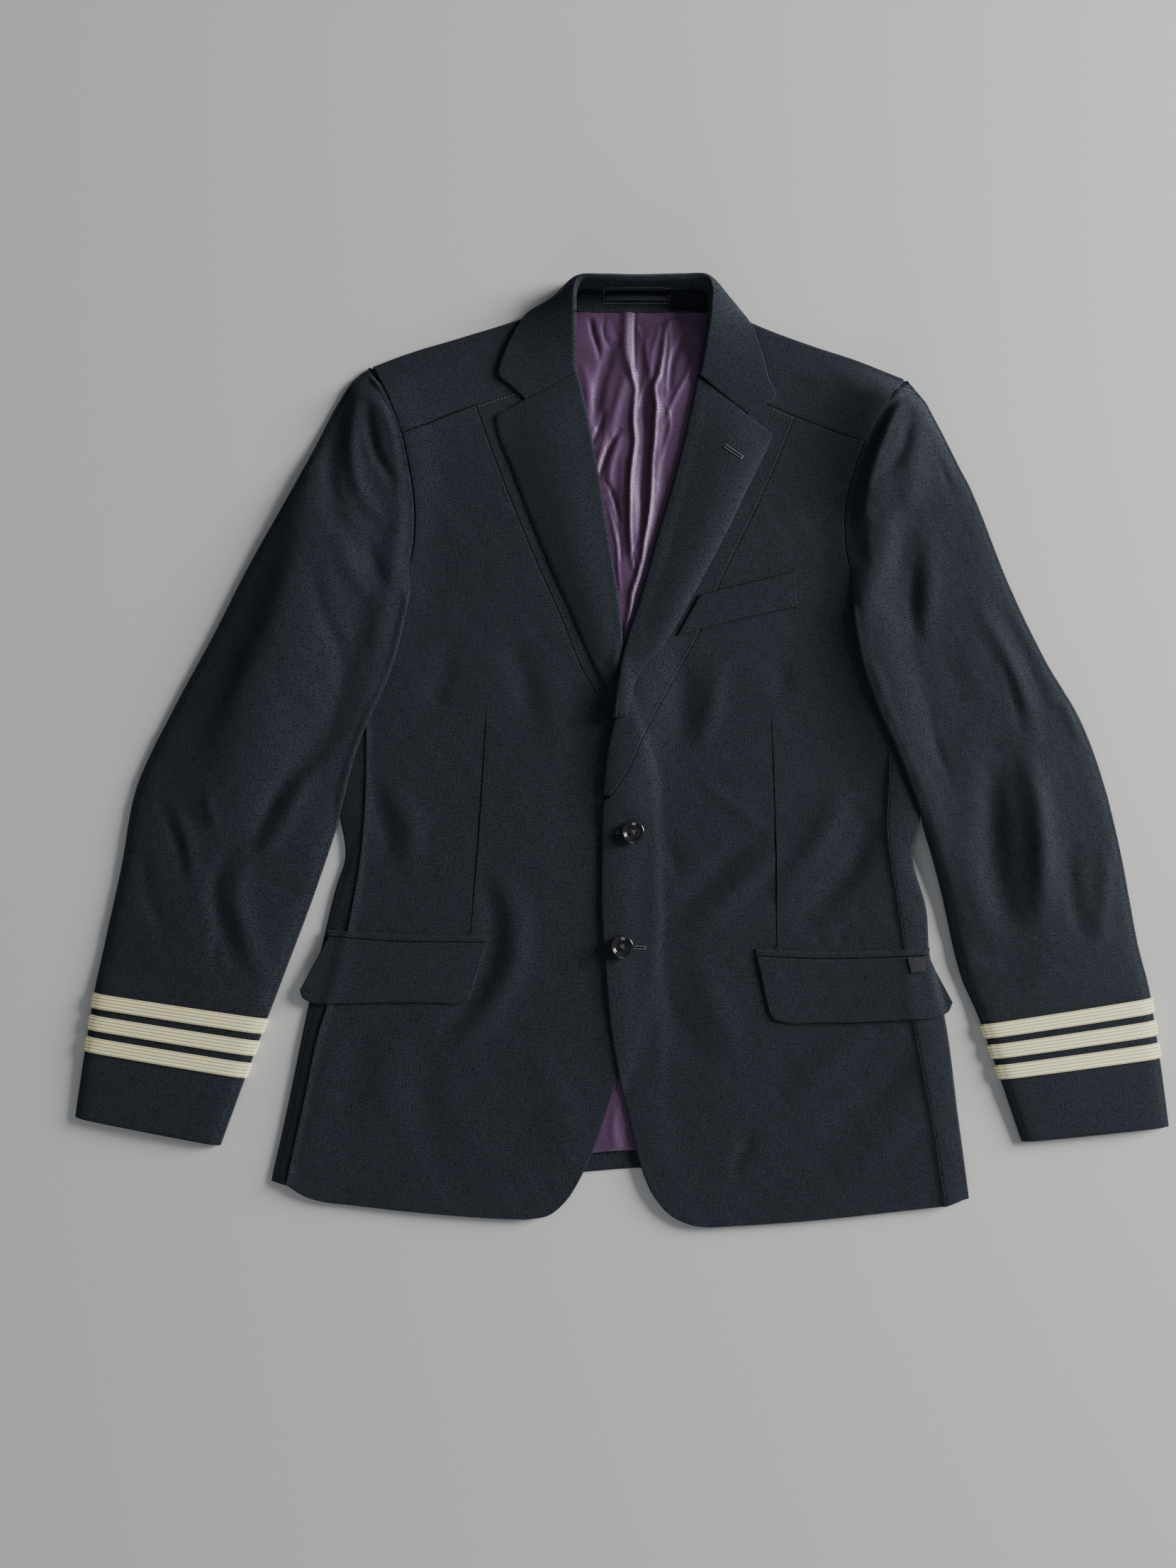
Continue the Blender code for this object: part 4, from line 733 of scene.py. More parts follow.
ARMHOLE_RIGHT = ((-222, 100), (-198, 124), (-183, 160), (-180.6, 200), (-185.4, 237.5),
                 (-191.5, 267))
ARMHOLE_LEFT = ((235, 98), (212, 122), (198.5, 150), (195.6, 180), (197.6, 210), (204, 235),
                (211.5, 256.5))
YOKE_SEAM_RIGHT = ((-191.5, 267), (-172, 275), (-153, 284), (-128, 294))
YOKE_SEAM_LEFT = ((211.5, 256.5), (190, 266), (172, 275), (154, 283))
BAND_TOP_RIGHT = ((-128, 294), (-110, 300), (-94, 306), (-50, 325))
BAND_TOP_LEFT = ((154, 283), (130, 294), (112, 303), (80, 322))
SHOULDER_RIGHT = ((-218.5, 329.3), (-191, 340), (-142, 355.2), (-89, 372), (-54, 384.5))
SHOULDER_LEFT = ((251.6, 318.2), (205, 337), (174, 347.2), (120, 368), (92, 381.5))
BAND_SEAM_RIGHT = ((-128, 294), (-110, 243), (-79, 164), (-51, 99), (-36, 61), (-17, 28),
                   (4, -12), (20, -42))
BAND_SEAM_LEFT = ((154, 283), (140, 249), (114, 192), (92, 148), (68, 92), (44, 48),
                  (19, 2), (1, -35), (-11, -52))
FRONT_EDGE_RIGHT = ((27, -48), (28, -110), (25, -180), (14, -240), (-6, -293))
FRONT_EDGE_LEFT = ((-18, -57), (-19, -99), (-19, -160), (-17, -190), (-12, -250), (-5, -293))
CUTAWAY_RIGHT = ((-6, -293), (-16, -323), (-28, -356), (-38, -377), (-50, -396), (-66, -409),
                 (-84, -412))
CUTAWAY_LEFT = ((-5, -293), (2, -323), (12, -365), (23, -392), (40, -411), (56, -418), (71, -420))
FRONT_HEM_RIGHT = ((-289, -381), (-273, -391), (-261, -395), (-231, -399), (-171, -406),
                   (-110, -411), (-84, -412))
FRONT_HEM_LEFT = ((274, -404), (253, -406), (192, -412), (131, -417), (71, -420))
BAND_INNER_RIGHT = ((-50, 325), (-37, 273), (-28, 222), (-21, 173), (-13, 123), (-7, 79),
                    (10, 20), (27, -42))
BAND_INNER_LEFT = ((80, 322), (68, 273), (56, 226), (40, 172), (24, 116), (11, 76),
                   (-3, 28), (-13, -10), (-18, -51))
FINE = 10
HALF_SEAM = 0.08


def pulled_in(plan, start=0.0, end=0.0, first=0.0, last=0.0):
    """Moves a plan grid's borders inward by their seam gaps."""
    moved = plan.copy()
    moved[0] -= start * outward_of(plan[0], plan[1])
    moved[-1] -= end * outward_of(plan[-1], plan[-2])
    moved[:, 0] -= first * outward_of(plan[:, 0], plan[:, 1])
    moved[:, -1] -= last * outward_of(plan[:, -1], plan[:, -2])
    return moved


def finer(count):
    return (count - 1) * FINE + 1


def front_panel(name, plan, node, edges):
    """A panel of the front: its plan laid on the pile, with its borders rolled down."""
    plan = with_close_edges(plan)
    under = laid(plan, body_top(plan[..., 0], plan[..., 1]) - WOOL)
    top = np.dstack([plan, under + WOOL - drop_edges(plan, *edges)])
    piece = shell(name, top, WOOL, wool, [node])
    return piece, top


def body_half(side, tables):
    """The front, band and yoke of one half, laid as one level on the pile."""
    seam, armhole, band_seam, edge, cutaway, hem, yoke_seam, band_top, band_inner, shoulder = tables
    band_run = curve(band_seam, finer(12))
    step = np.linspace(band_run[-1], np.array(edge[0], float), FINE // 2 + 1)
    edge_run = joined(curve(edge, finer(4)), curve(cutaway, finer(9) + FINE // 2))
    outside = joined(curve(seam, finer(16)), curve(armhole, finer(9)))
    inside = joined(edge_run[::-1], step[::-1], band_run[::-1])
    plan = patch(outside, inside, curve(hem, finer(11)), curve(yoke_seam, finer(11)))
    plan = pulled_in(plan, end=HALF_SEAM, first=HALF_SEAM, last=HALF_SEAM)
    front, front_top = front_panel("front_" + side + "_panel", plan, "front_" + side,
                                   (EDGE, SEAM, SEAM, EDGE))

    inner_run = curve(band_inner, finer(12))
    plan = patch(band_run[::-1], inner_run[::-1],
                 np.linspace(band_run[-1], inner_run[-1], finer(4)), curve(band_top, finer(4)))
    plan = pulled_in(plan, start=HALF_SEAM, end=HALF_SEAM, first=HALF_SEAM, last=HALF_SEAM)
    band, band_top_skin = front_panel("band_" + side + "_panel", plan, "band_" + side,
                                      (EDGE, SEAM, SEAM, EDGE))

    low = joined(curve(yoke_seam, finer(11)), curve(band_top, finer(4)))
    high = curve(shoulder, len(low))
    outward = outward_of(high, low)
    shares = np.concatenate([[0.0, 0.02, 0.06], np.linspace(0.1, 1.0, 22)])
    plan = leaf(low, high - outward * FOLD_REACH, shares)
    bulge = 2.2 * np.sin(math.pi * shares)[None] * np.exp(-np.arange(len(low)) / 9.0)[:, None]
    plan[..., 0] -= np.sign(low[0, 0]) * bulge
    plan = pulled_in(plan, first=HALF_SEAM)
    under = laid(plan, body_top(plan[..., 0], plan[..., 1]) - WOOL)
    top = np.dstack([plan, under + WOOL - roll_down(border_distances(plan)[2], *SEAM)])
    low_edge = np.dstack([plan[:, -1:], np.zeros((len(low), 1))])
    outer = np.concatenate([top, nose(top[:, -1], low_edge[:, 0], outward, FOLD_REACH),
                            low_edge], axis=1)
    yoke = shell("yoke_" + side + "_panel", outer, WOOL, wool, ["yoke_" + side])
    for skin in (front_top, band_top_skin, outer):
        pile_add(skin)
    return front, band, yoke


right_front, right_band, right_yoke = body_half("right", (
    SIDE_SEAM_RIGHT, ARMHOLE_RIGHT, BAND_SEAM_RIGHT, FRONT_EDGE_RIGHT, CUTAWAY_RIGHT,
    FRONT_HEM_RIGHT, YOKE_SEAM_RIGHT, BAND_TOP_RIGHT, BAND_INNER_RIGHT, SHOULDER_RIGHT))

# ---------------------------------------------------------------------------------------
# Lapels: the front's own facing, turned back at the roll line and pressed to a soft fold.
# The right one is laid first, and then the left front and its lapel over it.

LAPEL = 1.2
ROLL_REACH = 3.0
ROLL_LIP = 6.5
LAPEL_EDGE = (5.5, 1.1)
ROLL_RIGHT = ((-38, 323), (-35, 312), (-27, 273), (-18, 222), (-11, 173), (-3, 123), (1, 79),
              (0, 48), (-2, 20))
ROLL_LEFT = ((68, 320), (66, 310), (58, 273), (46, 226), (30, 172), (14, 116), (1, 76),
             (-5, 44), (-9, 16))
LAPEL_EDGE_RIGHT = ((-111, 284), (-110, 274), (-96, 236), (-76, 183), (-48, 117), (-28, 70),
                    (-12, 36), (-8, 20))
LAPEL_EDGE_LEFT = ((134, 267), (131, 259), (114, 224), (92, 179), (67, 132), (38, 83), (14, 53),
                   (3, 16))


def lapel_leaf(side, edge_points, roll_points):
    """A lapel: straight rows from its edge to the roll line, rising as the climb times the
    share of the way to the power 1.6, and bowed by sin(pi share^crest)^1.3, then half an
    ellipse and a lip that runs under."""
    rows = 150
    edge, roll = curve(edge_points, rows), curve(roll_points, rows)
    inward = -outward_of(roll, edge)
    turn = roll + inward * ROLL_REACH
    breadth = np.linalg.norm(edge - roll, axis=1, keepdims=True)
    shares = np.concatenate([[0.0, 0.015, 0.04], np.linspace(0.08, 1.0, 26)])
    plan = pulled_in(leaf(edge, turn, shares), start=HALF_SEAM)
    lip = leaf(plan[:, -1], plan[:, -1] + inward * ROLL_LIP * np.clip(breadth / 40.0, 0.3, 1.0),
               np.linspace(0.0, 1.0, 4))
    lip_under = laid(lip, np.full(lip.shape[:2], BODY_TOP - WOOL), 1, 1)
    pile_add(np.dstack([lip, lip_under + LAPEL])[7:])
    climb, crest = (2.8, 1.0) if side == "right" else (1.2, 0.58)
    rise = climb * shares[None]**1.6 * np.clip(breadth / 70.0, 0.0, 1.0)
    below = np.cumsum(np.linalg.norm(np.diff(edge, axis=0, prepend=edge[:1]), axis=1))[:, None]
    bow = ((3.4 if side == "right" else 5.0)
           * np.clip(np.sin(math.pi * shares**crest), 0.0, 1.0)[None]**1.3
           * np.clip(breadth / 60.0, 0.0, 1.0)
           * np.sin(np.clip(below / 45.0, 0.0, 1.0) * math.pi / 2))
    under = laid(plan, BODY_TOP + GAP + rise + bow, 2, 2)
    under[:, -1] = np.maximum(under[:, -1], lip_under[:, 0] + LAPEL + 0.6)
    tail = (1.0, 0.2) if side == "right" else (14.0, 1.3)
    drop = drop_edges(plan, SEAM, tail, LAPEL_EDGE, (1.0, 0.0))
    top = np.dstack([plan, under + LAPEL - drop])
    low = np.dstack([lip, lip_under])
    outer = np.concatenate([top, nose(top[:, -1], low[:, 0], -inward, ROLL_REACH), low], axis=1)
    piece = shell("lapel_" + side + "_leaf", outer, LAPEL, wool, ["lapel_" + side],
                  grain=0.42 if side == "right" else -0.42)
    pile_add(outer[7:])
    return piece


right_lapel = lapel_leaf("right", LAPEL_EDGE_RIGHT, ROLL_RIGHT)
left_front, left_band, left_yoke = body_half("left", (
    SIDE_SEAM_LEFT, ARMHOLE_LEFT, BAND_SEAM_LEFT, FRONT_EDGE_LEFT, CUTAWAY_LEFT,
    FRONT_HEM_LEFT, YOKE_SEAM_LEFT, BAND_TOP_LEFT, BAND_INNER_LEFT, SHOULDER_LEFT))
lapel_leaf("left", LAPEL_EDGE_LEFT, ROLL_LEFT)

# ---------------------------------------------------------------------------------------
# Collar: one leaf that falls outward from the fold round the neck, on a stand that drops
# inside it. Cut on the bias, so its twill runs aslant.

# Columns: fold x, fold y, fold z, leaf edge x, leaf edge y, leaf edge z, stand foot z
COLLAR = (
    (-38.0, 323.6, 11.0, -84, 298.6, 7.7, 5.4),
    (-38.5, 327.0, 11.8, -96, 310, 8.0, 5.4),
    (-38.5, 333.0, 13.2, -108, 321, 8.6, 5.4),
    (-38.5, 345.0, 16.0, -104, 337, 9.2, 5.4),
    (-38.5, 358.0, 19.0, -97, 353, 9.4, 5.4),
    (-38.5, 371.0, 22.5, -89, 367, 9.4, 5.0),
    (-38.5, 384.0, 25.5, -80, 380, 4.6, 4.5),
    (-37.5, 393.0, 27.5, -61, 392, 2.4, 4.6),
    (-32.0, 398.5, 28.0, -42, 408, 2.4, 4.6),
    (-15.0, 397.5, 28.0, -17, 411, 2.4, 4.6),
    (19.0, 396.5, 28.0, 19, 411, 2.4, 4.6),
    (54.0, 398.0, 28.0, 56, 411, 2.4, 4.6),
    (71.5, 399.0, 28.0, 81, 409, 2.4, 4.6),
    (77.0, 392.0, 27.0, 101, 390, 2.4, 4.6),
    (77.0, 380.0, 24.5, 111, 376, 4.6, 4.5),
    (76.0, 366.0, 21.0, 118, 363, 9.4, 5.0),
    (74.0, 353.0, 18.0, 122, 350, 9.4, 5.4),
    (72.0, 341.0, 15.0, 127, 335, 9.2, 5.4),
    (70.0, 331.0, 13.2, 131, 318, 8.6, 5.4),
    (69.0, 326.0, 11.9, 137.5, 302, 8.0, 5.4),
    (68.4, 322.6, 11.3, 125, 292, 7.8, 5.4),
    (68.2, 320.8, 11.0, 112.5, 284.4, 7.7, 5.4),
)


def read_rows(table, places):
    """Reads a section table at fractional row numbers, by cubic pieces from row to row."""
    rows = np.asarray(table, float)
    slope = np.gradient(rows, axis=0)
    low = np.clip(np.floor(places).astype(int), 0, len(rows) - 2)
    u = (places - low)[:, None]
    return ((2 * u**3 - 3 * u**2 + 1) * rows[low] + (u**3 - 2 * u**2 + u) * slope[low]
            + (3 * u**2 - 2 * u**3) * rows[low + 1] + (u**3 - u**2) * slope[low + 1])


def collar_skin():
    """Collar: each section runs from the leaf's edge up to the fold, as a mix of a bent
    straight line and a quarter ellipse by how steeply it falls, over a round fold of
    3 mm, and down the stand to its foot."""
    near = np.array([0.0, 0.12, 0.3])
    count = len(COLLAR)
    places = np.concatenate([near, np.linspace(0.5, count - 1.5, 190), count - 1 - near[::-1]])
    fold_x, fold_y, fold_z, edge_x, edge_y, edge_z, foot_z = read_rows(COLLAR, places).T[..., None]
    length = np.hypot(edge_x - fold_x, edge_y - fold_y)
    out_x, out_y = (edge_x - fold_x) / length, (edge_y - fold_y) / length
    beneath = bilinear(support(2, 2), edge_x, edge_y)
    edge_z = np.maximum(edge_z, beneath + GAP + WOOL)
    drop = fold_z - edge_z
    steep = drop / (drop + length)
    share = np.concatenate([[0.0, 0.015, 0.04], np.linspace(0.08, 1.0, 30)])[None]
    turn = share * math.pi / 2
    flat_d, flat_z = length + (ROLL_REACH - length) * share, edge_z + drop * share**1.5
    round_d = ROLL_REACH + (length - ROLL_REACH) * np.cos(turn)
    round_z = edge_z + drop * np.sin(turn)
    leaf_d = (1 - steep) * flat_d + steep * round_d
    leaf_z = (1 - steep) * flat_z + steep * round_z
    angle = np.linspace(math.pi / 2, math.pi, 9)[None, 1:]
    stand_top = fold_z - 3.4
    fold_d = ROLL_REACH * 0.5 * (1 + np.cos(2 * (angle - math.pi / 2))) * np.ones_like(fold_z)
    round_top = stand_top + 3.4 * np.sin(angle)
    down = np.linspace(0.0, 1.0, 10)[None, 1:]
    pinch = 0.8 * np.sin(0.45 * fold_x + 1.3 * np.sin(0.13 * fold_x)) * np.clip(out_y, 0.0, 1.0)
    stand_d = 0.8 * down + pinch * np.sin(math.pi * down)
    stand_z = stand_top + (foot_z - stand_top) * down
    d = np.concatenate([leaf_d, fold_d, stand_d], axis=1)
    z = np.concatenate([leaf_z, round_top, stand_z], axis=1)
    return np.dstack([fold_x + out_x * d, fold_y + out_y * d, z]), leaf_d.shape[1]


outer, leaf_count = collar_skin()
leaf_part = outer[:, :leaf_count]
floor_height = bilinear(support(2, 2), leaf_part[..., 0], leaf_part[..., 1]) + GAP + WOOL
lift = np.maximum(floor_height - leaf_part[..., 2], 0.0)
lift[:, -4:] *= np.array([0.7, 0.4, 0.15, 0.0])
outer[:, :leaf_count, 2] += lift
outer[:, :leaf_count, 2] -= drop_edges(outer[:, :leaf_count], SEAM, SEAM, EDGE, (1.0, 0.0))
outer[:, :leaf_count, 2] += ripples(outer[:, :leaf_count, 0], outer[:, :leaf_count, 1], 21,
                                    34.0, 0.35) * np.sin(math.pi * np.linspace(0, 1, leaf_count))
collar = shell("collar_leaf", outer, WOOL, wool, ["collar"], grain=0.78)
pile_add(outer)

# ---------------------------------------------------------------------------------------
# Pockets: a breast welt, and at each hip a narrow jet with a flap that hangs from under it.
# A small woven tab is caught in the left hip's jet; it is left bare.

WELT_TOP = ((68, 124), (100, 132), (154, 145))
WELT_BOTTOM = ((48, 88.5), (100, 102), (154, 114))
JET_RIGHT_TOP = ((-255, -165.5), (-207, -169.5), (-117, -172))
JET_RIGHT_BOTTOM = ((-254, -171), (-207, -175), (-118, -177))
JET_LEFT_TOP = ((113, -184), (165, -187), (264, -184))
JET_LEFT_BOTTOM = ((114, -190), (165, -192.5), (262, -190))
FLAP_RIGHT_TOP = ((-254, -171.6), (-207, -175.6), (-118, -177.6))
FLAP_RIGHT_BOTTOM = ((-278, -217), (-276, -223), (-268, -227.5), (-245, -228.5), (-200, -228),
                     (-160, -228.5), (-141, -229), (-133, -226))
FLAP_LEFT_TOP = ((114, -190.6), (165, -193.1), (262, -190.6))
FLAP_LEFT_BOTTOM = ((124, -237), (128, -244), (137, -247), (165, -247.5), (200, -247), (240, -245),
                    (268, -242.5), (279, -239), (283, -231))
LABEL_TOP = ((242, -192), (257, -191.5))
LABEL_BOTTOM = ((245, -205), (258, -204))


def small_panel(name, low_points, high_points, thickness, node, material, counts,
                edges):
    """A piece that lies on the front: straight rows between its long edges, laid on the
    pile, its free edges rounded over."""
    rows, columns = counts
    plan = leaf(curve(low_points, rows), curve(high_points, rows), np.linspace(0, 1, columns))
    plan = with_close_edges(plan)
    top = np.dstack([plan, laid(plan, np.full(plan.shape[:2], BODY_TOP), 1, 2) + thickness
                     - drop_edges(plan, *edges)])
    piece = shell(name, top, thickness, material, [node])
    return piece, top


ALL_ROUND = ((1.3, 0.6),) * 4
welt, welt_top = small_panel("breast_welt_strip", WELT_BOTTOM, WELT_TOP, WOOL, "breast_welt",
                             wool,
                             (60, 20), ((7.0, 2.0),) + ALL_ROUND[1:])
jet_right, skin_a = small_panel("jet_right_strip", JET_RIGHT_BOTTOM, JET_RIGHT_TOP, 1.2,
                                "jet_right", wool,
                                (80, 6), ((1.0, 0.3), (1.0, 0.3), (2.2, 0.6), (2.2, 0.6)))
jet_left, skin_b = small_panel("jet_left_strip", JET_LEFT_BOTTOM, JET_LEFT_TOP, 1.2,
                               "jet_left", wool,
                               (80, 6), ((1.0, 0.3), (1.0, 0.3), (2.2, 0.6), (2.2, 0.6)))
flap_right, skin_c = small_panel("flap_right_leaf", FLAP_RIGHT_BOTTOM, FLAP_RIGHT_TOP, WOOL,
                                 "flap_right", wool,
                                 (90, 30), ALL_ROUND)
flap_left, skin_d = small_panel("flap_left_leaf", FLAP_LEFT_BOTTOM, FLAP_LEFT_TOP, WOOL,
                                "flap_left", wool,
                                (90, 30), ALL_ROUND)
for skin in (welt_top, skin_a, skin_b, skin_c, skin_d):
    pile_add(skin)
tab_cloth = cloth_material("woven_tab", (0.006, 0.006, 0.01, 1.0), (0.03, 0.03, 0.04, 1.0),
                           0.55, 1800.0, 0.4, 0.4, 0.05, (0.7, 0.7, 0.8, 1.0))
small_panel("woven_tab", LABEL_BOTTOM, LABEL_TOP, 0.8, "label",
            tab_cloth, (14, 12), ((0.8, 0.3),) * 4)

# ---------------------------------------------------------------------------------------
# Buttons: two glossy black resin buttons with a raised rim and a dished middle, each sewn
# through its four holes with grey thread that crosses over itself.

BUTTONS = (("button_upper", 8.0, -83.0), ("button_lower", -2.0, -181.0))
HOLE_RADIUS = 1.15
HOLE_OFFSET = 2.2
# Columns: radius, height
BUTTON_PROFILE = ((0.0, 1.55), (3.0, 1.6), (5.4, 1.8), (6.5, 2.3), (7.2, 3.2), (7.8, 3.9),
                  (8.5, 4.2), (9.2, 4.0), (9.7, 3.4), (10.0, 2.6), (9.8, 1.8), (8.8, 0.9),
                  (6.5, 0.2), (0.0, 0.0))


def resin_material():
    """Polished resin: near black, with faint cloudy swirls and fine wear in its gloss."""
    material = bpy.data.materials.new("black_resin")
    material.use_nodes = True
    tree = material.node_tree
    shader = tree.nodes["Principled BSDF"]
    place = tree.nodes.new("ShaderNodeTexCoord")
    clouds = noise(tree, place.outputs["Object"], 140.0, 3.0)
    colour = blend_colour(tree, clouds, (0.004, 0.004, 0.005, 1.0), (0.020, 0.020, 0.023, 1.0))
    tree.links.new(colour, shader.inputs["Base Color"])
    wear = noise(tree, place.outputs["Object"], 900.0, 2.0)
    tree.links.new(maths(tree, "ADD", maths(tree, "MULTIPLY", wear, 0.14), 0.08),
                   shader.inputs["Roughness"])
    shader.inputs["Coat Weight"].default_value = 0.5
    shader.inputs["Coat Roughness"].default_value = 0.08
    return material


def thread_material(name, dark, light):
    """Sewing thread: two close colours by fine noise along it, matt."""
    material = bpy.data.materials.new(name)
    material.use_nodes = True
    tree = material.node_tree
    shader = tree.nodes["Principled BSDF"]
    place = tree.nodes.new("ShaderNodeTexCoord")
    twist = noise(tree, place.outputs["Object"], 2400.0, 1.0)
    tree.links.new(blend_colour(tree, twist, dark, light), shader.inputs["Base Color"])
    tree.links.new(maths(tree, "ADD", maths(tree, "MULTIPLY", twist, 0.2), 0.55),
                   shader.inputs["Roughness"])
    bump = tree.nodes.new("ShaderNodeBump")
    bump.inputs["Distance"].default_value = 0.0001
    tree.links.new(twist, bump.inputs["Height"])
    tree.links.new(bump.outputs[0], shader.inputs["Normal"])
    return material


def tubes(paths, radius, sides=6):
    """Round threads: each path (count, steps, 3) gets rings of points square to its run,
    tapered at both ends, and its ends close to a point."""
    paths = np.asarray(paths, float)
    count, steps = paths.shape[:2]
    run = np.gradient(paths, axis=1)
    run /= np.maximum(np.linalg.norm(run, axis=2, keepdims=True), 1e-9)
    up = np.array([0.0, 0.0, 1.0])
    side = np.cross(run, up)
    side /= np.maximum(np.linalg.norm(side, axis=2, keepdims=True), 1e-9)
    rise = np.cross(side, run)
    angle = 2 * math.pi * np.arange(sides) / sides
    width = radius * np.sin(np.linspace(0.12, math.pi - 0.12, steps))**0.35
    ring = (np.cos(angle)[None, None, :, None] * side[:, :, None]
            + np.sin(angle)[None, None, :, None] * rise[:, :, None])
    points = paths[:, :, None] + ring * width[None, :, None, None]
    index = np.arange(count * steps * sides).reshape(count, steps, sides)
    after = np.roll(index, -1, axis=2)
    wall = np.stack([index[:, :-1], after[:, :-1], after[:, 1:], index[:, 1:]], axis=-1)
    faces = wall.reshape(-1, 4).tolist()
    faces += index[:, 0, ::-1].tolist() + index[:, -1].tolist()
    return points.reshape(-1, 3), faces


def add_threads(name, paths, radius, material, sides=6):
    """One mesh of many short threads, on the jacket's body."""
    points, faces = tubes(paths, radius, sides)
    mesh = bpy.data.meshes.new(name)
    shifted = (points + np.array([0.0, TABLE_Y, 0.0])) * MM
    mesh.from_pydata(shifted.tolist(), [], faces)
    mesh.polygons.foreach_set("use_smooth", np.full(len(mesh.polygons), True))
    mesh.materials.append(material)
    piece = bpy.data.objects.new(name, mesh)
    bpy.context.scene.collection.objects.link(piece)
    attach(piece, "root")
    return piece


def turned_button(node, x, y, angle):
    """A button: the profile turned round its axis at 64 steps, less four round holes."""
    spots = np.linspace(0, 2 * math.pi, 24)
    seat = max(bilinear(pile, x + r * np.cos(spots), y + r * np.sin(spots)).max()
               for r in (2.0, 6.0, 9.5)) + 0.9
    around = 64
    turn = 2 * math.pi * np.arange(around) / around
    inner = np.array(BUTTON_PROFILE[1:-1])
    rings = np.stack([x + inner[:, :1] * np.cos(turn), y + inner[:, :1] * np.sin(turn),
                      seat + inner[:, 1:] * np.ones(around)], axis=-1).reshape(-1, 3)
    points = np.vstack([[(x, y, seat + BUTTON_PROFILE[0][1])], rings,
                        [(x, y, seat + BUTTON_PROFILE[-1][1])]])
    index = 1 + np.arange(len(inner) * around).reshape(len(inner), around)
    after = np.roll(index, -1, axis=1)
    faces = np.stack([index[:-1], index[1:], after[1:], after[:-1]], axis=-1).reshape(-1, 4)
    faces = faces.tolist() + [[0, a, b] for a, b in zip(index[0], after[0])]
    faces += [[len(points) - 1, b, a] for a, b in zip(index[-1], after[-1])]
    button = add_piece(node + "_disc", points, [list(map(int, f)) for f in faces], resin,
                       [node])
    cutters = []
    holes = [(x + HOLE_OFFSET * 1.414 * math.cos(angle + k * math.pi / 2),
              y + HOLE_OFFSET * 1.414 * math.sin(angle + k * math.pi / 2)) for k in range(4)]
    bore = np.linspace(-2.0, 8.0, 2)
    for number, (hole_x, hole_y) in enumerate(holes):
        wheel = 2 * math.pi * np.arange(20) / 20
        ring = np.stack([hole_x + HOLE_RADIUS * np.cos(wheel), hole_y + HOLE_RADIUS * np.sin(wheel),
                         np.zeros(20)], axis=-1)
        tube = np.concatenate([ring + [0, 0, seat + h] for h in bore])
        walls = [[k, (k + 1) % 20, 20 + (k + 1) % 20, 20 + k] for k in range(20)]
        caps = [list(range(19, -1, -1)), list(range(20, 40))]
        mesh = bpy.data.meshes.new("bore")
        mesh.from_pydata(((tube + [0, TABLE_Y, 0]) * MM).tolist(), [], walls + caps)
        cutters.append(bpy.data.objects.new("bore", mesh))
        bpy.context.scene.collection.objects.link(cutters[-1])
        cut = button.modifiers.new("hole", "BOOLEAN")
        cut.operation = "DIFFERENCE"
        cut.object = cutters[-1]
    bpy.context.view_layer.update()
    made = bpy.data.meshes.new_from_object(
        button.evaluated_get(bpy.context.evaluated_depsgraph_get()))
    button.modifiers.clear()
    button.data = made
    made.polygons.foreach_set("use_smooth", np.full(len(made.polygons), True))
    made.set_sharp_from_angle(angle=math.radians(40))
    for cutter in cutters:
        bpy.data.objects.remove(cutter)
    level = seat + 1.6
    strands = []
    for first, second in ((0, 2), (1, 3)):
        for shift in (-0.42, 0.0, 0.42):
            t = np.linspace(0.0, 1.0, 11)
            a, b = np.array(holes[first]), np.array(holes[second])
            side = np.array([-(b - a)[1], (b - a)[0]]) / np.linalg.norm(b - a) * shift
            line = a[None] * (1 - t)[:, None] + b[None] * t[:, None] + side
            height = level + 0.75 * np.sin(math.pi * t)**0.4 + (0.25 if first else 0.0) - 0.4
            strands.append(np.column_stack([line, height]))
    add_threads(node + "_thread", strands, 0.27, button_thread, 6)
    return seat


resin = resin_material()
button_thread = thread_material("grey_button_thread", (0.035, 0.035, 0.04, 1.0),
                                (0.12, 0.12, 0.13, 1.0))
for number, (node, x, y) in enumerate(BUTTONS):
    turned_button(node, x, y, 0.55 + 0.3 * number)

# ---------------------------------------------------------------------------------------
# Sleeves: two-piece sleeves, bent at the elbow and laid beside the body. The top sleeve
# wraps both folds and the under sleeve closes the tube; both are open at the cuff.

SLEEVE_TOP = 7.4
SLEEVE_CROWN = 4.5
CUFF_LIFT = 1.6
BRAIDS = 3
BRAID_WIDTH, BRAID_PITCH, BRAID_RISE, CUFF_ZONE = 13.0, 18.8, 57.5, 108.1
CAP_START = 9
UNDERARM_ROW = 6.3
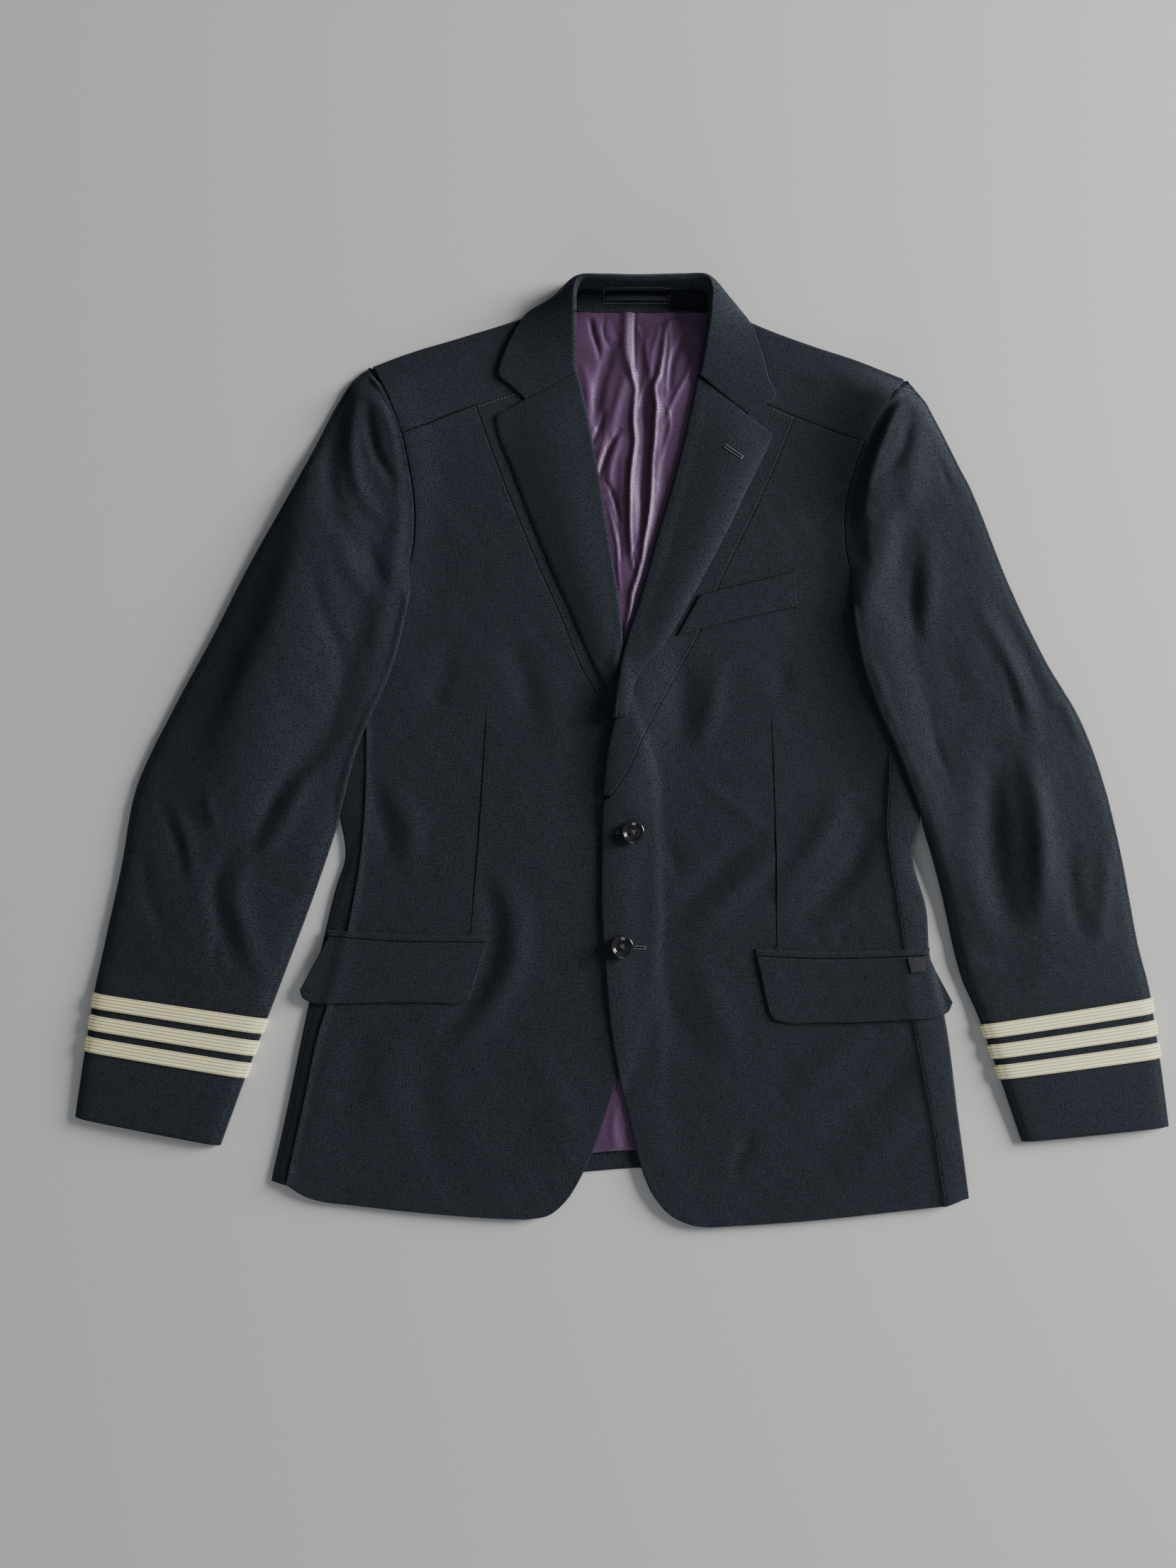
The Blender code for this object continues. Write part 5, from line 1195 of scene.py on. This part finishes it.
# Columns: outer x, outer y, inner x, inner y, share of the width that the underside leaf takes
SLEEVE_RIGHT = (
    (-469, -323, -345, -348, 0.20),
    (-454, -218, -306, -241, 0.20),
    (-446, -175, -292, -203, 0.22),
    (-433, -110, -268, -138, 0.26),
    (-421, -42, -247, -74, 0.32),
    (-390, 26, -229, -7, 0.42),
    (-357, 89, -204, 50, 0.55),
    (-327, 150, -190, 98, 0.58),
    (-296, 206, -180, 158, 0.65),
    (-272, 251, -180, 204, 0.62),
    (-253, 290, -188, 245, 0.60),
    (-236, 316.5, -200, 290, 0.60),
    (-222.0, 328.0, -219.0, 327.0, 0.60),
)
SLEEVE_LEFT = (
    (469, -338, 341, -350, 0.20),
    (456, -228, 308, -250, 0.20),
    (446, -178, 290, -203, 0.22),
    (434, -103, 275, -133, 0.26),
    (420, -39, 258, -72, 0.32),
    (401, 15, 237, -16, 0.42),
    (372, 67, 218, 28, 0.52),
    (342, 133, 203, 82, 0.53),
    (314, 209, 198, 156, 0.65),
    (298, 243, 199, 204, 0.62),
    (281, 277, 213, 260, 0.60),
    (268, 301, 229, 289, 0.60),
    (255.8, 316.2, 252.4, 315.6, 0.60),
)
# Columns: path of the crest or trough, half width, height
SLEEVE_CREASES_RIGHT = (
    (((-244, 250), (-262, 162), (-284, 88), (-320, 9), (-356, -74)), 38, 10.5),
    (((-192, 203), (-205, 122), (-217, 68), (-240, 2), (-256, -38)), 12, 3.0),
    (((-232, 122), (-231, 55), (-266, -11), (-309, -64), (-338, -103)), 14, -2.5),
    (((-262, 281), (-279, 199), (-297, 111), (-327, 43), (-354, -27)), 16, 4.1),
    (((-234, 312), (-251, 262), (-252, 211), (-236, 167)), 9, -3.2),
    (((-230, 309), (-235, 249), (-224, 208), (-204, 183)), 6, 2.9),
    (((-223, 300), (-214, 249), (-196, 218)), 5, -2.9),
    (((-196, 213), (-182, 204)), 3, -1.2),
    (((-247, 180), (-233, 142), (-211, 114)), 7, 2.4),
    (((-224, 170), (-214, 149), (-203, 127)), 6, -2.0),
    (((-270, 155), (-260, 111), (-245, 74), (-241, 25)), 7, -2.3),
    (((-247, -17), (-271, -37), (-289, -67), (-312, -104)), 8, 3.2),
    (((-264, -12), (-290, -34), (-308, -67), (-321, -100)), 6, -2.4),
    (((-327, -122), (-292, -128), (-268, -143)), 3.5, -1.4),
    (((-335, -94), (-350, -125), (-343, -164), (-330, -200)), 7, -2.7),
    (((-321, -94), (-330, -128), (-324, -164), (-305, -218)), 8, 2.7),
    (((-350, -164), (-348, -200)), 3, -1.2),
    (((-358, -41), (-353, -67), (-346, -85)), 5, 1.6),
    (((-401, -54), (-384, -85), (-376, -124)), 5, -1.7),
    (((-391, -48), (-374, -91), (-366, -128)), 6, 1.7),
    (((-416, -91), (-406, -139), (-388, -176)), 6, -1.1),
    (((-328, 87), (-348, 31), (-377, -12)), 9, -1.1),
    (((-294, 49), (-269, 34), (-250, 6)), 8, 0.9),
)
SLEEVE_CREASES_LEFT = (
    (((216, 257), (202, 188), (198, 107), (217, 40), (253, -53), (283, -146), (305, -211)),
     15, 4.0),
    (((265, 202), (269, 134), (258, 67)), 9, 1.6),
    (((241, 243), (244, 161), (248, 80)), 10, -2.0),
    (((321, 0), (318, -106), (327, -185)), 13, -2.5),
    (((353, 13), (358, -93), (364, -172)), 12, 2.5),
    (((242, 306), (230, 267), (211, 226)), 6, 2.3),
    (((253, 290), (244, 248), (215, 216)), 6, -3.3),
    (((265, 290), (255, 236), (233, 173), (214, 116), (209, 85)), 13, 4.1),
    (((212, 197), (208, 163), (204, 148)), 5, -1.6),
    (((258, 160), (254, 116), (256, 79)), 5, -2.2),
    (((271, 154), (268, 116), (268, 79)), 7, 1.2),
    (((306, 125), (332, 75), (350, 32), (361, -5)), 7, 2.7),
    (((327, 119), (357, 60), (372, 13)), 6, -1.7),
    (((330, 69), (342, 29), (347, -5)), 4, -1.5),
    (((260, 38), (273, -14), (286, -46)), 4, -1.4),
    (((321, -21), (323, -70), (328, -131), (342, -183)), 11, -3.9),
    (((346, -12), (358, -58), (361, -119), (356, -168)), 10, 4.4),
    (((321, -22), (346, -16), (375, -12)), 4, -1.6),
    (((387, -86), (388, -138), (398, -183)), 8, -2.7),
    (((418, -92), (416, -138), (409, -183)), 8, 2.4),
    (((382, 32), (391, 13), (398, -7)), 4, 1.8),
    (((300, -189), (335, -193), (367, -180)), 9, -2.0),
    (((277, 245), (292, 215)), 3, -1.1),
    (((288, -88), (308, -149), (323, -204)), 12, 2.0),
    (((230, 82), (217, 70)), 3, -1.0),
    (((280, 85), (291, 48), (312, 10)), 12, -1.0),
)


def sleeve_rows(table):
    """Row places up the sleeve: even ones, with the braids' edges among them."""
    cuff = [0.0] + [(BRAID_RISE + k * BRAID_PITCH + e) / CUFF_ZONE
                    for k in range(BRAIDS) for e in (0.0, BRAID_WIDTH)]
    places = np.unique(np.round(np.concatenate([
        cuff, np.linspace(0.0, 1.0, 34), np.linspace(1.0, len(table) - 1.0, 170)]), 5))
    rows = read_rows(table, places)
    straight = places < 1.0
    share = places[straight][:, None]
    rows[straight] = np.array(table[0]) * (1 - share) + np.array(table[1]) * share
    return places, rows


def set_in(inside, places, seam, table_x):
    """Moves the inner edge's points of the sleeve head onto the armhole seam, and says how
    much of the seam's hold each row has: none at the underarm, all of it above the notch."""
    hold = np.clip((places - 7.4) / 0.9, 0.0, 1.0)
    hold = (hold * hold * (3 - 2 * hold))[:, None]
    line = curve(seam, 400)
    gap = (inside[:, None, 0] - line[None, :, 0])**2 + (inside[:, None, 1] - line[None, :, 1])**2
    target = line[gap.argmin(axis=1)] + np.array([0.5 * np.sign(table_x), 0.0])
    return inside * (1 - hold) + target * hold, hold


def sleeve(side, table, crease_table, seam):
    """A sleeve: at each row the tube runs from the inner lip, round the inner fold, over the
    top with a crown of sin(share)^0.6 and the creases, round the outer fold and under."""
    places, rows = sleeve_rows(table)
    outside = rows[:, 0:2]
    inside, hold = set_in(rows[:, 2:4], places, seam, table[0][0])
    across = inside - outside
    width = np.linalg.norm(across, axis=1, keepdims=True)
    across = across / width
    reach = np.minimum(FOLD_REACH, width * 0.2)
    cap = np.clip((places - CAP_START + 0.8) / 0.8, 0.0, 1.0)[:, None]
    flat_head = 20.0 if side == "left" else 16.0
    lip_length = 16.0 * (1 - cap) + np.minimum(3.0, width * 0.12) * cap
    inner_reach = reach * (1 - hold) + 0.6 * hold
    outer_turn, inner_turn = outside + across * reach, inside - across * inner_reach
    back_seam = outside + across * width * rows[:, 4:5]
    lip_end = inner_turn - across * lip_length
    lift = CUFF_LIFT * np.clip(places / 0.4, 0.0, 1.0) * np.clip(1.5 - places, 0.0, 0.5) / 0.5
    level = lift[:, None]
    lower = leaf(outer_turn, back_seam, np.linspace(0, 1, 12))
    lip = leaf(lip_end, inner_turn, np.linspace(0, 1, 5))
    lower_under = laid(lower, level * np.ones((1, 12)), 2, 1)
    lip_under = laid(lip, level * np.ones((1, 5)), 2, 1)
    lower_under[lower_under < GAP] = 0.0
    end = np.clip((len(table) - 1.0 - places) / 0.5, 0.0, 1.0)[:, None]
    lower_under, lip_under = lower_under * end, lip_under * end
    short, full = int((places <= UNDERARM_ROW).sum()), int((places <= CAP_START - 0.4).sum())
    first = back_seam[:short] + across[:short] * 0.6
    last = lip_end[:full] - across[:full] * 0.6
    middle = first[-1] * 0.55 + last[-1] * 0.45
    first = joined(first, np.linspace(first[-1], middle, full - short + 1))
    plan = patch(first, last, np.linspace(first[0], last[0], 20), np.linspace(middle, last[-1], 20))
    under_top = np.dstack([plan, laid(plan, level[:full] * np.ones((1, 20)), 2, 1) + WOOL])
    under_piece = shell("under_sleeve_" + side + "_panel", under_top, WOOL, wool,
                        ["under_sleeve_" + side])
    for skin, height in ((lower, lower_under), (lip, lip_under)):
        pile_add(np.dstack([skin, height + WOOL]))
    pile_add(under_top)

    shares = np.linspace(0.0, 1.0, 62)
    upper = leaf(inner_turn, outer_turn, shares)
    fade = np.clip((places - 0.85) / 1.0, 0.0, 1.0)[:, None]
    fade = fade * fade * (3 - 2 * fade)
    crown = (np.sin(shares * math.pi)[None] * SLEEVE_CROWN * (0.25 + 0.75 * fade)
             * np.clip(width / 120.0, 0.2, 1.0))
    relief = creases(upper[..., 0], upper[..., 1], crease_table) * (0.15 + 0.85 * fade)
    relief = relief + padded_shoulder(upper[..., 0], upper[..., 1])
    relief = relief + ripples(upper[..., 0], upper[..., 1], 31 if side == "right" else 37,
                              42.0, 0.7) * fade
    relief = relief + ripples(upper[..., 0], upper[..., 1], 33, 19.0, 0.4) * fade
    tip = np.clip((len(table) - 1.0 - places) / 1.3, 0.0, 1.0)[:, None]**0.7
    wanted = SLEEVE_TOP - WOOL + (crown + relief) * tip - 2.5 * (1 - tip) + level
    wanted = np.maximum(wanted, level + WOOL + GAP)
    upper_under = laid(upper, wanted, 3, 3)
    edge_drop = roll_down(np.linspace(0, 1, 62)[None] * width, 15.0, 2.2)
    upper_under = upper_under - np.maximum(edge_drop, edge_drop[:, ::-1])
    near = np.clip(1.0 - shares[None] * width / flat_head, 0.0, 1.0)
    near = near * near * (3 - 2 * near) * hold
    body_side = inside + across * 3.0
    flush = bilinear(support(0, 0), body_side[:, :1], body_side[:, 1:]) - WOOL
    flush = flush * end + np.minimum(flush, 2.4) * (1 - end)
    upper_under = upper_under * (1 - near) + flush * near
    upper_under -= roll_down(shares[None] * width, 1.2, 0.5) * hold
    upper_under = upper_under * end + np.minimum(upper_under, 1.6) * (1 - end)
    lip_under = np.minimum(lip_under, np.where(hold > 0.0, flush - WOOL - 0.9, 99.0)).clip(0.2)
    upper_under[:, 0] = np.maximum(upper_under[:, 0], lip_under[:, -1] + WOOL + 0.1)
    upper_under[:, -1] = np.maximum(upper_under[:, -1], lower_under[:, 0] + WOOL + 0.8)
    top = np.dstack([upper, upper_under + WOOL])
    low, lip_low = np.dstack([lower, lower_under]), np.dstack([lip, lip_under])
    inner_nose = nose(top[:, 0], lip_low[:, -1], across, inner_reach)
    outer_nose = nose(top[:, -1], low[:, 0], -across, reach)
    outer = np.concatenate([lip_low, inner_nose[:, ::-1], top, outer_nose, low], axis=1)
    lean = 0.22 if side == "left" else -0.22
    piece = shell("top_sleeve_" + side + "_panel", outer, WOOL, wool,
                  ["top_sleeve_" + side], grain=lean)
    pile_add(outer)
    return piece, outer, places


right_sleeve, right_skin, right_places = sleeve(
    "right", SLEEVE_RIGHT, SLEEVE_CREASES_RIGHT, ARMHOLE_RIGHT[1:] + SHOULDER_RIGHT[:1])
left_sleeve, left_skin, left_places = sleeve(
    "left", SLEEVE_LEFT, SLEEVE_CREASES_LEFT, ARMHOLE_LEFT[1:] + SHOULDER_LEFT[:1])

# ---------------------------------------------------------------------------------------
# Sleeve braid: three flat tapes of pale gold lace round each cuff, woven with ribs along
# their length and stitched down along both edges.

BRAID = 1.0
RIBS = 4


def braid_material():
    """Gold lace: pale yarns with a diagonal weave across the tape, painted darker in the grooves
    between the ribs (an attribute) as painted shade, and a slight metallic thread sheen."""
    material = bpy.data.materials.new("gold_lace")
    material.use_nodes = True
    tree = material.node_tree
    shader = tree.nodes["Principled BSDF"]
    cloth = tree.nodes.new("ShaderNodeUVMap")
    cloth.uv_map = "cloth"
    split = tree.nodes.new("ShaderNodeSeparateXYZ")
    tree.links.new(cloth.outputs[0], split.inputs[0])
    slant = maths(tree, "ADD", split.outputs[0], split.outputs[1])
    twill = maths(tree, "SINE", maths(tree, "MULTIPLY", slant, 2 * math.pi * 900.0))
    twill = maths(tree, "ADD", maths(tree, "MULTIPLY", twill, 0.5), 0.5)
    # The rib mask darkens the grooves between the ribs: painted shade.
    rib = tree.nodes.new("ShaderNodeAttribute")
    rib.attribute_name = "rib"
    dirt = noise(tree, cloth.outputs[0], 1.0, 2.0, (260.0, 700.0, 1.0))
    share = maths(tree, "ADD", maths(tree, "MULTIPLY", rib.outputs["Fac"], 0.85),
                  maths(tree, "MULTIPLY", twill, 0.16))
    share = maths(tree, "ADD", share, maths(tree, "MULTIPLY", dirt, 0.22))
    clamp = tree.nodes.new("ShaderNodeClamp")
    tree.links.new(share, clamp.inputs[0])
    # Dark in the grooves, pale gold on the ribs: painted shade between the ribs.
    colour = blend_colour(tree, clamp.outputs[0], (0.27, 0.22, 0.10, 1.0),
                          (1.0, 0.96, 0.57, 1.0))
    tree.links.new(colour, shader.inputs["Base Color"])
    tree.links.new(maths(tree, "ADD", maths(tree, "MULTIPLY", dirt, 0.2), 0.42),
                   shader.inputs["Roughness"])
    bump = tree.nodes.new("ShaderNodeBump")
    bump.inputs["Strength"].default_value = 0.6
    bump.inputs["Distance"].default_value = 0.0003
    tree.links.new(maths(tree, "ADD", twill, dirt), bump.inputs["Height"])
    tree.links.new(bump.outputs[0], shader.inputs["Normal"])
    shader.inputs["Sheen Weight"].default_value = 0.15
    return material


def braid_tape(side, number, skin, places):
    """A tape: the sleeve's rows between its two edges, read again at 33 places across,
    moved out by the tape's thickness with ribs of |cos| and thin selvedges."""
    low = (BRAID_RISE + (number - 1) * BRAID_PITCH) / CUFF_ZONE
    high = low + BRAID_WIDTH / CUFF_ZONE
    share = np.linspace(0.0, 1.0, 49)
    at = low + (high - low) * share
    row = np.clip(np.searchsorted(places, at) - 1, 0, len(places) - 2)
    u = ((at - places[row]) / (places[row + 1] - places[row]))[:, None, None]
    base = skin[row] * (1 - u) + skin[row + 1] * u
    normal = normals(skin)
    out = normal[row] * (1 - u) + normal[row + 1] * u
    out[..., :] /= np.linalg.norm(out, axis=2, keepdims=True)
    inside_share = np.clip((share - 0.07) / 0.86, 0.0, 1.0)
    # The rib profile sets the ribs' height and also the painted shade between them.
    rib = np.abs(np.sin(math.pi * RIBS * inside_share)) ** 0.9
    rib = np.where((share < 0.07) | (share > 0.93), 0.35, rib)
    edge = np.clip(np.minimum(share, 1 - share) / 0.03, 0.0, 1.0)
    height = (BRAID * 0.75 + 0.45 * rib) * (0.55 + 0.45 * edge)
    outer = base + out * (GAP + height)[:, None, None]
    under = base + out * GAP
    return outer, under, rib


def braid_shell(side, number, skin, places):
    """The tape as a closed wall round the cuff's front, with its rib mask, which paints
    shade into the grooves between the ribs.
    """
    outer, under, rib = braid_tape(side, number, skin, places)
    n, m = outer.shape[:2]
    index = np.arange(n * m).reshape(n, m)
    a, b, c, d = index[:-1, :-1], index[1:, :-1], index[1:, 1:], index[:-1, 1:]
    top = np.stack([a, b, c, d], axis=-1).reshape(-1, 4)
    border = np.concatenate([index[:, 0], index[-1, 1:], index[-2::-1, -1], index[0, -2:0:-1]])
    points = np.vstack([outer.reshape(-1, 3), under.reshape(-1, 3)])
    normal = normals(outer).reshape(-1, 3)
    corner = points[top[:, 1]] - points[top[:, 0]]
    across = points[top[:, 3]] - points[top[:, 0]]
    if np.sum(np.cross(corner, across) * normal[top[:, 0]]) < 0:
        top, border = top[:, ::-1], border[::-1]
    after = np.roll(border, -1)
    faces = np.vstack([top, top[:, ::-1] + n * m,
                       np.stack([after, border, border + n * m, after + n * m], axis=1)])
    along = np.concatenate([[0.0], np.cumsum(np.linalg.norm(np.diff(outer[n // 2], axis=0),
                                                            axis=1))])
    across_run = np.linspace(0.0, BRAID_WIDTH, n)
    u, v = np.meshgrid(along, across_run)
    flat = np.dstack([u, v]).reshape(-1, 2) * MM
    name = "braid_" + side + "_" + str(number)
    piece = add_piece(name + "_tape", points, faces, lace, [name],
                      np.vstack([flat, flat]))
    # Rib mask for the painted groove shade; the tape's underside gets a dark 0.2.
    values = np.repeat(rib, m).astype(np.float32)
    piece.data.attributes.new("rib", "FLOAT", "POINT").data.foreach_set(
        "value", np.concatenate([values, np.full(n * m, 0.2, np.float32)]))
    return outer


lace = braid_material()
braid_thread = thread_material("gold_stitching", (0.20, 0.17, 0.10, 1.0), (0.45, 0.40, 0.28, 1.0))
for side, skin, places, on in (("right", right_skin, right_places, right_sleeve.name),
                               ("left", left_skin, left_places, left_sleeve.name)):
    strands = []
    for number in range(1, BRAIDS + 1):
        outer = braid_shell(side, number, skin, places)
        for row in (3, 45):
            line = outer[row]
            run = np.concatenate([[0.0], np.cumsum(np.linalg.norm(np.diff(line, axis=0), axis=1))])
            at = np.arange(8.0, run[-1] - 10.0, 2.6)[:, None] + np.linspace(0.0, 1.7, 5)[None]
            path = np.stack([np.interp(at, run, line[:, k]) for k in range(3)], axis=-1)
            path[..., 2] += 0.06 * np.sign(path[..., 2] - 3.0)
            strands.append(path)
    add_threads("braid_stitches_" + side, np.concatenate(strands), 0.16, braid_thread, 5)

# ---------------------------------------------------------------------------------------
# Sewing: topstitching along the band seams, a dotted pick stitch across the yoke's band,
# and worked buttonholes in the lapel and the front. The two darts, the right yoke seam, the
# welt's top and end, and the buttonhole slits are near black lines of painted shade.

seam_thread = thread_material("charcoal_thread", (0.016, 0.018, 0.022, 1.0),
                              (0.045, 0.049, 0.057, 1.0))
pick_thread = thread_material("grey_pick_thread", (0.05, 0.052, 0.06, 1.0),
                              (0.20, 0.20, 0.215, 1.0))
# Near black and without gloss: painted shade for the grooves of darts and seams and for buttonhole
# slits.
painted_shade_line = thread_material("painted_seam_shade", (0.001, 0.001, 0.002, 1.0), (0.003, 0.003, 0.004, 1.0))
painted_shade_line.node_tree.nodes["Principled BSDF"].inputs["Specular IOR Level"].default_value = 0.0


def stitches(path, pitch, length, lift, start=1.0):
    """Dashes along a plan path, lying on the top of the pile."""
    line = curve(path, 200)
    run = np.concatenate([[0.0], np.cumsum(np.linalg.norm(np.diff(line, axis=0), axis=1))])
    at = np.arange(start, run[-1] - length, pitch)[:, None] + np.linspace(0, length, 5)[None]
    x, y = np.interp(at, run, line[:, 0]), np.interp(at, run, line[:, 1])
    z = bilinear(support(1, 1), x, y) + lift
    z = z + 0.08 * np.sin(np.linspace(0, math.pi, 5))[None]
    return np.stack([x, y, z], axis=-1)


def beside(path, distance):
    """A path moved sideways by the given distance in mm."""
    line = curve(path, 120)
    return line + distance * outward_of(line, line + np.array([1.0, 0.0]))


right_line, left_line = beside(BAND_SEAM_RIGHT, -1.9), beside(BAND_SEAM_LEFT, 1.9)
open_runs = (right_line[right_line[:, 1] > 33.0], left_line[left_line[:, 1] > 141.0],
             left_line[left_line[:, 1] < 96.0])
add_threads("band_topstitching",
            np.concatenate([stitches(run, 2.6, 1.8, 0.02) for run in open_runs]), 0.17, seam_thread, 5)
add_threads("yoke_pick_stitches", np.concatenate([
    stitches(((-126, 292), (-110, 298), (-92, 304)), 3.4, 1.7, 0.05),
    stitches(((152, 281), (140, 287), (134, 290)), 3.4, 1.7, 0.05)]), 0.24, pick_thread, 5)
# Lines of painted shade along the darts, the right yoke seam and the welt's top and end.
SHADE_LINES = (("dart_right_shade", ((-118, 29), (-124, -68), (-132, -170)), 0.42),
         ("dart_left_shade", ((130, 17), (132, -69), (132, -184)), 0.42),
         ("yoke_seam_right_shade", YOKE_SEAM_RIGHT, 0.36), ("welt_top_shade", WELT_TOP, 0.28),
         ("welt_end_shade", ((154.2, 144), (154.2, 130), (154.2, 115)), 0.28))
for name, path, radius in SHADE_LINES:
    line = curve(path, 140)
    z = bilinear(support(1, 1), line[:, 0], line[:, 1]) - 0.12
    add_threads(name, [np.column_stack([line, z])], radius, painted_shade_line, 6)


def buttonhole(name, start, end, width):
    """A worked buttonhole: close short threads over both lips of a slit, and a bar at its end."""
    start, end = np.array(start, float), np.array(end, float)
    along = end - start
    length = np.linalg.norm(along)
    along /= length
    side = np.array([-along[1], along[0]])
    paths = []
    for sign in (-1.0, 1.0):
        at = np.arange(0.0, length, 0.55)
        inner = start + along * at[:, None] + sign * side * 0.45
        outer = start + along * at[:, None] + sign * side * width
        t = np.linspace(0.0, 1.0, 5)[None, :, None]
        line = inner[:, None] * (1 - t) + outer[:, None] * t
        z = bilinear(support(1, 1), line[..., 0], line[..., 1]) + 0.1 \
            + 0.16 * np.sin(math.pi * t[..., 0])
        paths.append(np.dstack([line, z]))
    for shift in (-0.5, 0.0, 0.5):
        t = np.linspace(-1.0, 1.0, 5)[:, None]
        line = end + along * shift + side * width * 1.15 * t
        z = bilinear(support(1, 1), line[:, 0], line[:, 1]) + 0.22
        paths.append(np.column_stack([line, z])[None])
    add_threads(name, np.concatenate(paths), 0.26, hole_thread, 5)
    # The slit is a near black line of painted shade.
    slit = start + along * np.linspace(0.2, length - 0.4, 12)[:, None]
    z = bilinear(support(1, 1), slit[:, 0], slit[:, 1]) - 0.12
    add_threads(name + "_slit_shade", [np.column_stack([slit, z])], 0.4, painted_shade_line, 5)


hole_thread = thread_material("buttonhole_twist", (0.035, 0.04, 0.048, 1.0),
                              (0.11, 0.12, 0.135, 1.0))
buttonhole("lapel_buttonhole", (91, 255), (106, 244.5), 1.9)
buttonhole("lower_buttonhole", (8, -182), (18, -182.5), 1.7)
buttonhole("upper_buttonhole", (-2.5, -83), (-5.5, -83), 1.3)
loop_box = ((-14, 386.2), (44, 386.2), (44, 394.6), (-14, 394.6), (-14, 386.2))
box_paths = [stitches(np.linspace(loop_box[k], loop_box[k + 1], 6), 2.2, 1.5, 0.03, 0.4)
             for k in range(4)]
add_threads("loop_box_stitches", np.concatenate(box_paths), 0.24, pick_thread, 5)

# ---------------------------------------------------------------------------------------
# The stage: a plain pale floor, a large soft light from the jacket's left, weaker ones from
# its right and from below its hem, and a pale surround. The camera stands where the
# photograph was taken.


def area_light(name, place, aim, size, power, colour):
    """A square soft light at a place, aimed at a point, all in metres."""
    lamp = bpy.data.lights.new(name, "AREA")
    lamp.shape = "RECTANGLE"
    lamp.size, lamp.size_y = size
    lamp.energy = power
    lamp.color = colour
    item = bpy.data.objects.new(name, lamp)
    item.location = place
    direction = np.array(place) - np.array(aim)
    yaw = math.atan2(direction[0], -direction[1])
    pitch = math.acos(direction[2] / np.linalg.norm(direction))
    item.rotation_euler = (pitch, 0.0, yaw)
    bpy.context.scene.collection.objects.link(item)


floor_size = 6.0
floor_mesh = bpy.data.meshes.new("floor")
floor_mesh.from_pydata([(-floor_size, -floor_size, -0.0004), (floor_size, -floor_size, -0.0004),
                        (floor_size, floor_size, -0.0004), (-floor_size, floor_size, -0.0004)],
                       [], [(0, 1, 2, 3)])
floor = bpy.data.objects.new("floor", floor_mesh)
bpy.context.scene.collection.objects.link(floor)
floor_material = bpy.data.materials.new("pale_floor")
floor_material.use_nodes = True
floor_shader = floor_material.node_tree.nodes["Principled BSDF"]
floor_shader.inputs["Base Color"].default_value = (0.56, 0.56, 0.55, 1.0)
floor_shader.inputs["Roughness"].default_value = 0.7
floor_mesh.materials.append(floor_material)

area_light("key", (3.6, 1.2, 1.42), (0.0, 0.0, 0.0), (1.7, 1.7), 370.0, (1.0, 0.99, 0.97))
area_light("fill", (-1.6, 0.4, 2.0), (0.0, 0.0, 0.0), (2.2, 2.2), 3.0, (0.93, 0.96, 1.0))
area_light("front", (-0.3, -4.8, 1.25), (0.0, 0.0, 0.0), (2.0, 2.0), 80.0, (0.95, 0.97, 1.0))
world = bpy.data.worlds.new("surround")
world.use_nodes = True
world.node_tree.nodes["Background"].inputs[0].default_value = (0.86, 0.9, 0.95, 1.0)
world.node_tree.nodes["Background"].inputs[1].default_value = 0.175
bpy.context.scene.world = world

camera_data = bpy.data.cameras.new("camera")
camera_data.lens = 27.02
camera_data.sensor_fit = "AUTO"
camera_data.sensor_width = 36.0
camera_data.clip_start, camera_data.clip_end = 0.01, 20.0
camera = bpy.data.objects.new("camera", camera_data)
camera.location = (-0.04333, -0.09179, 1.0254)
camera.rotation_euler = [math.radians(a) for a in (3.05475719, -0.71285435, -0.27738547)]
bpy.context.scene.collection.objects.link(camera)
bpy.context.scene.camera = camera
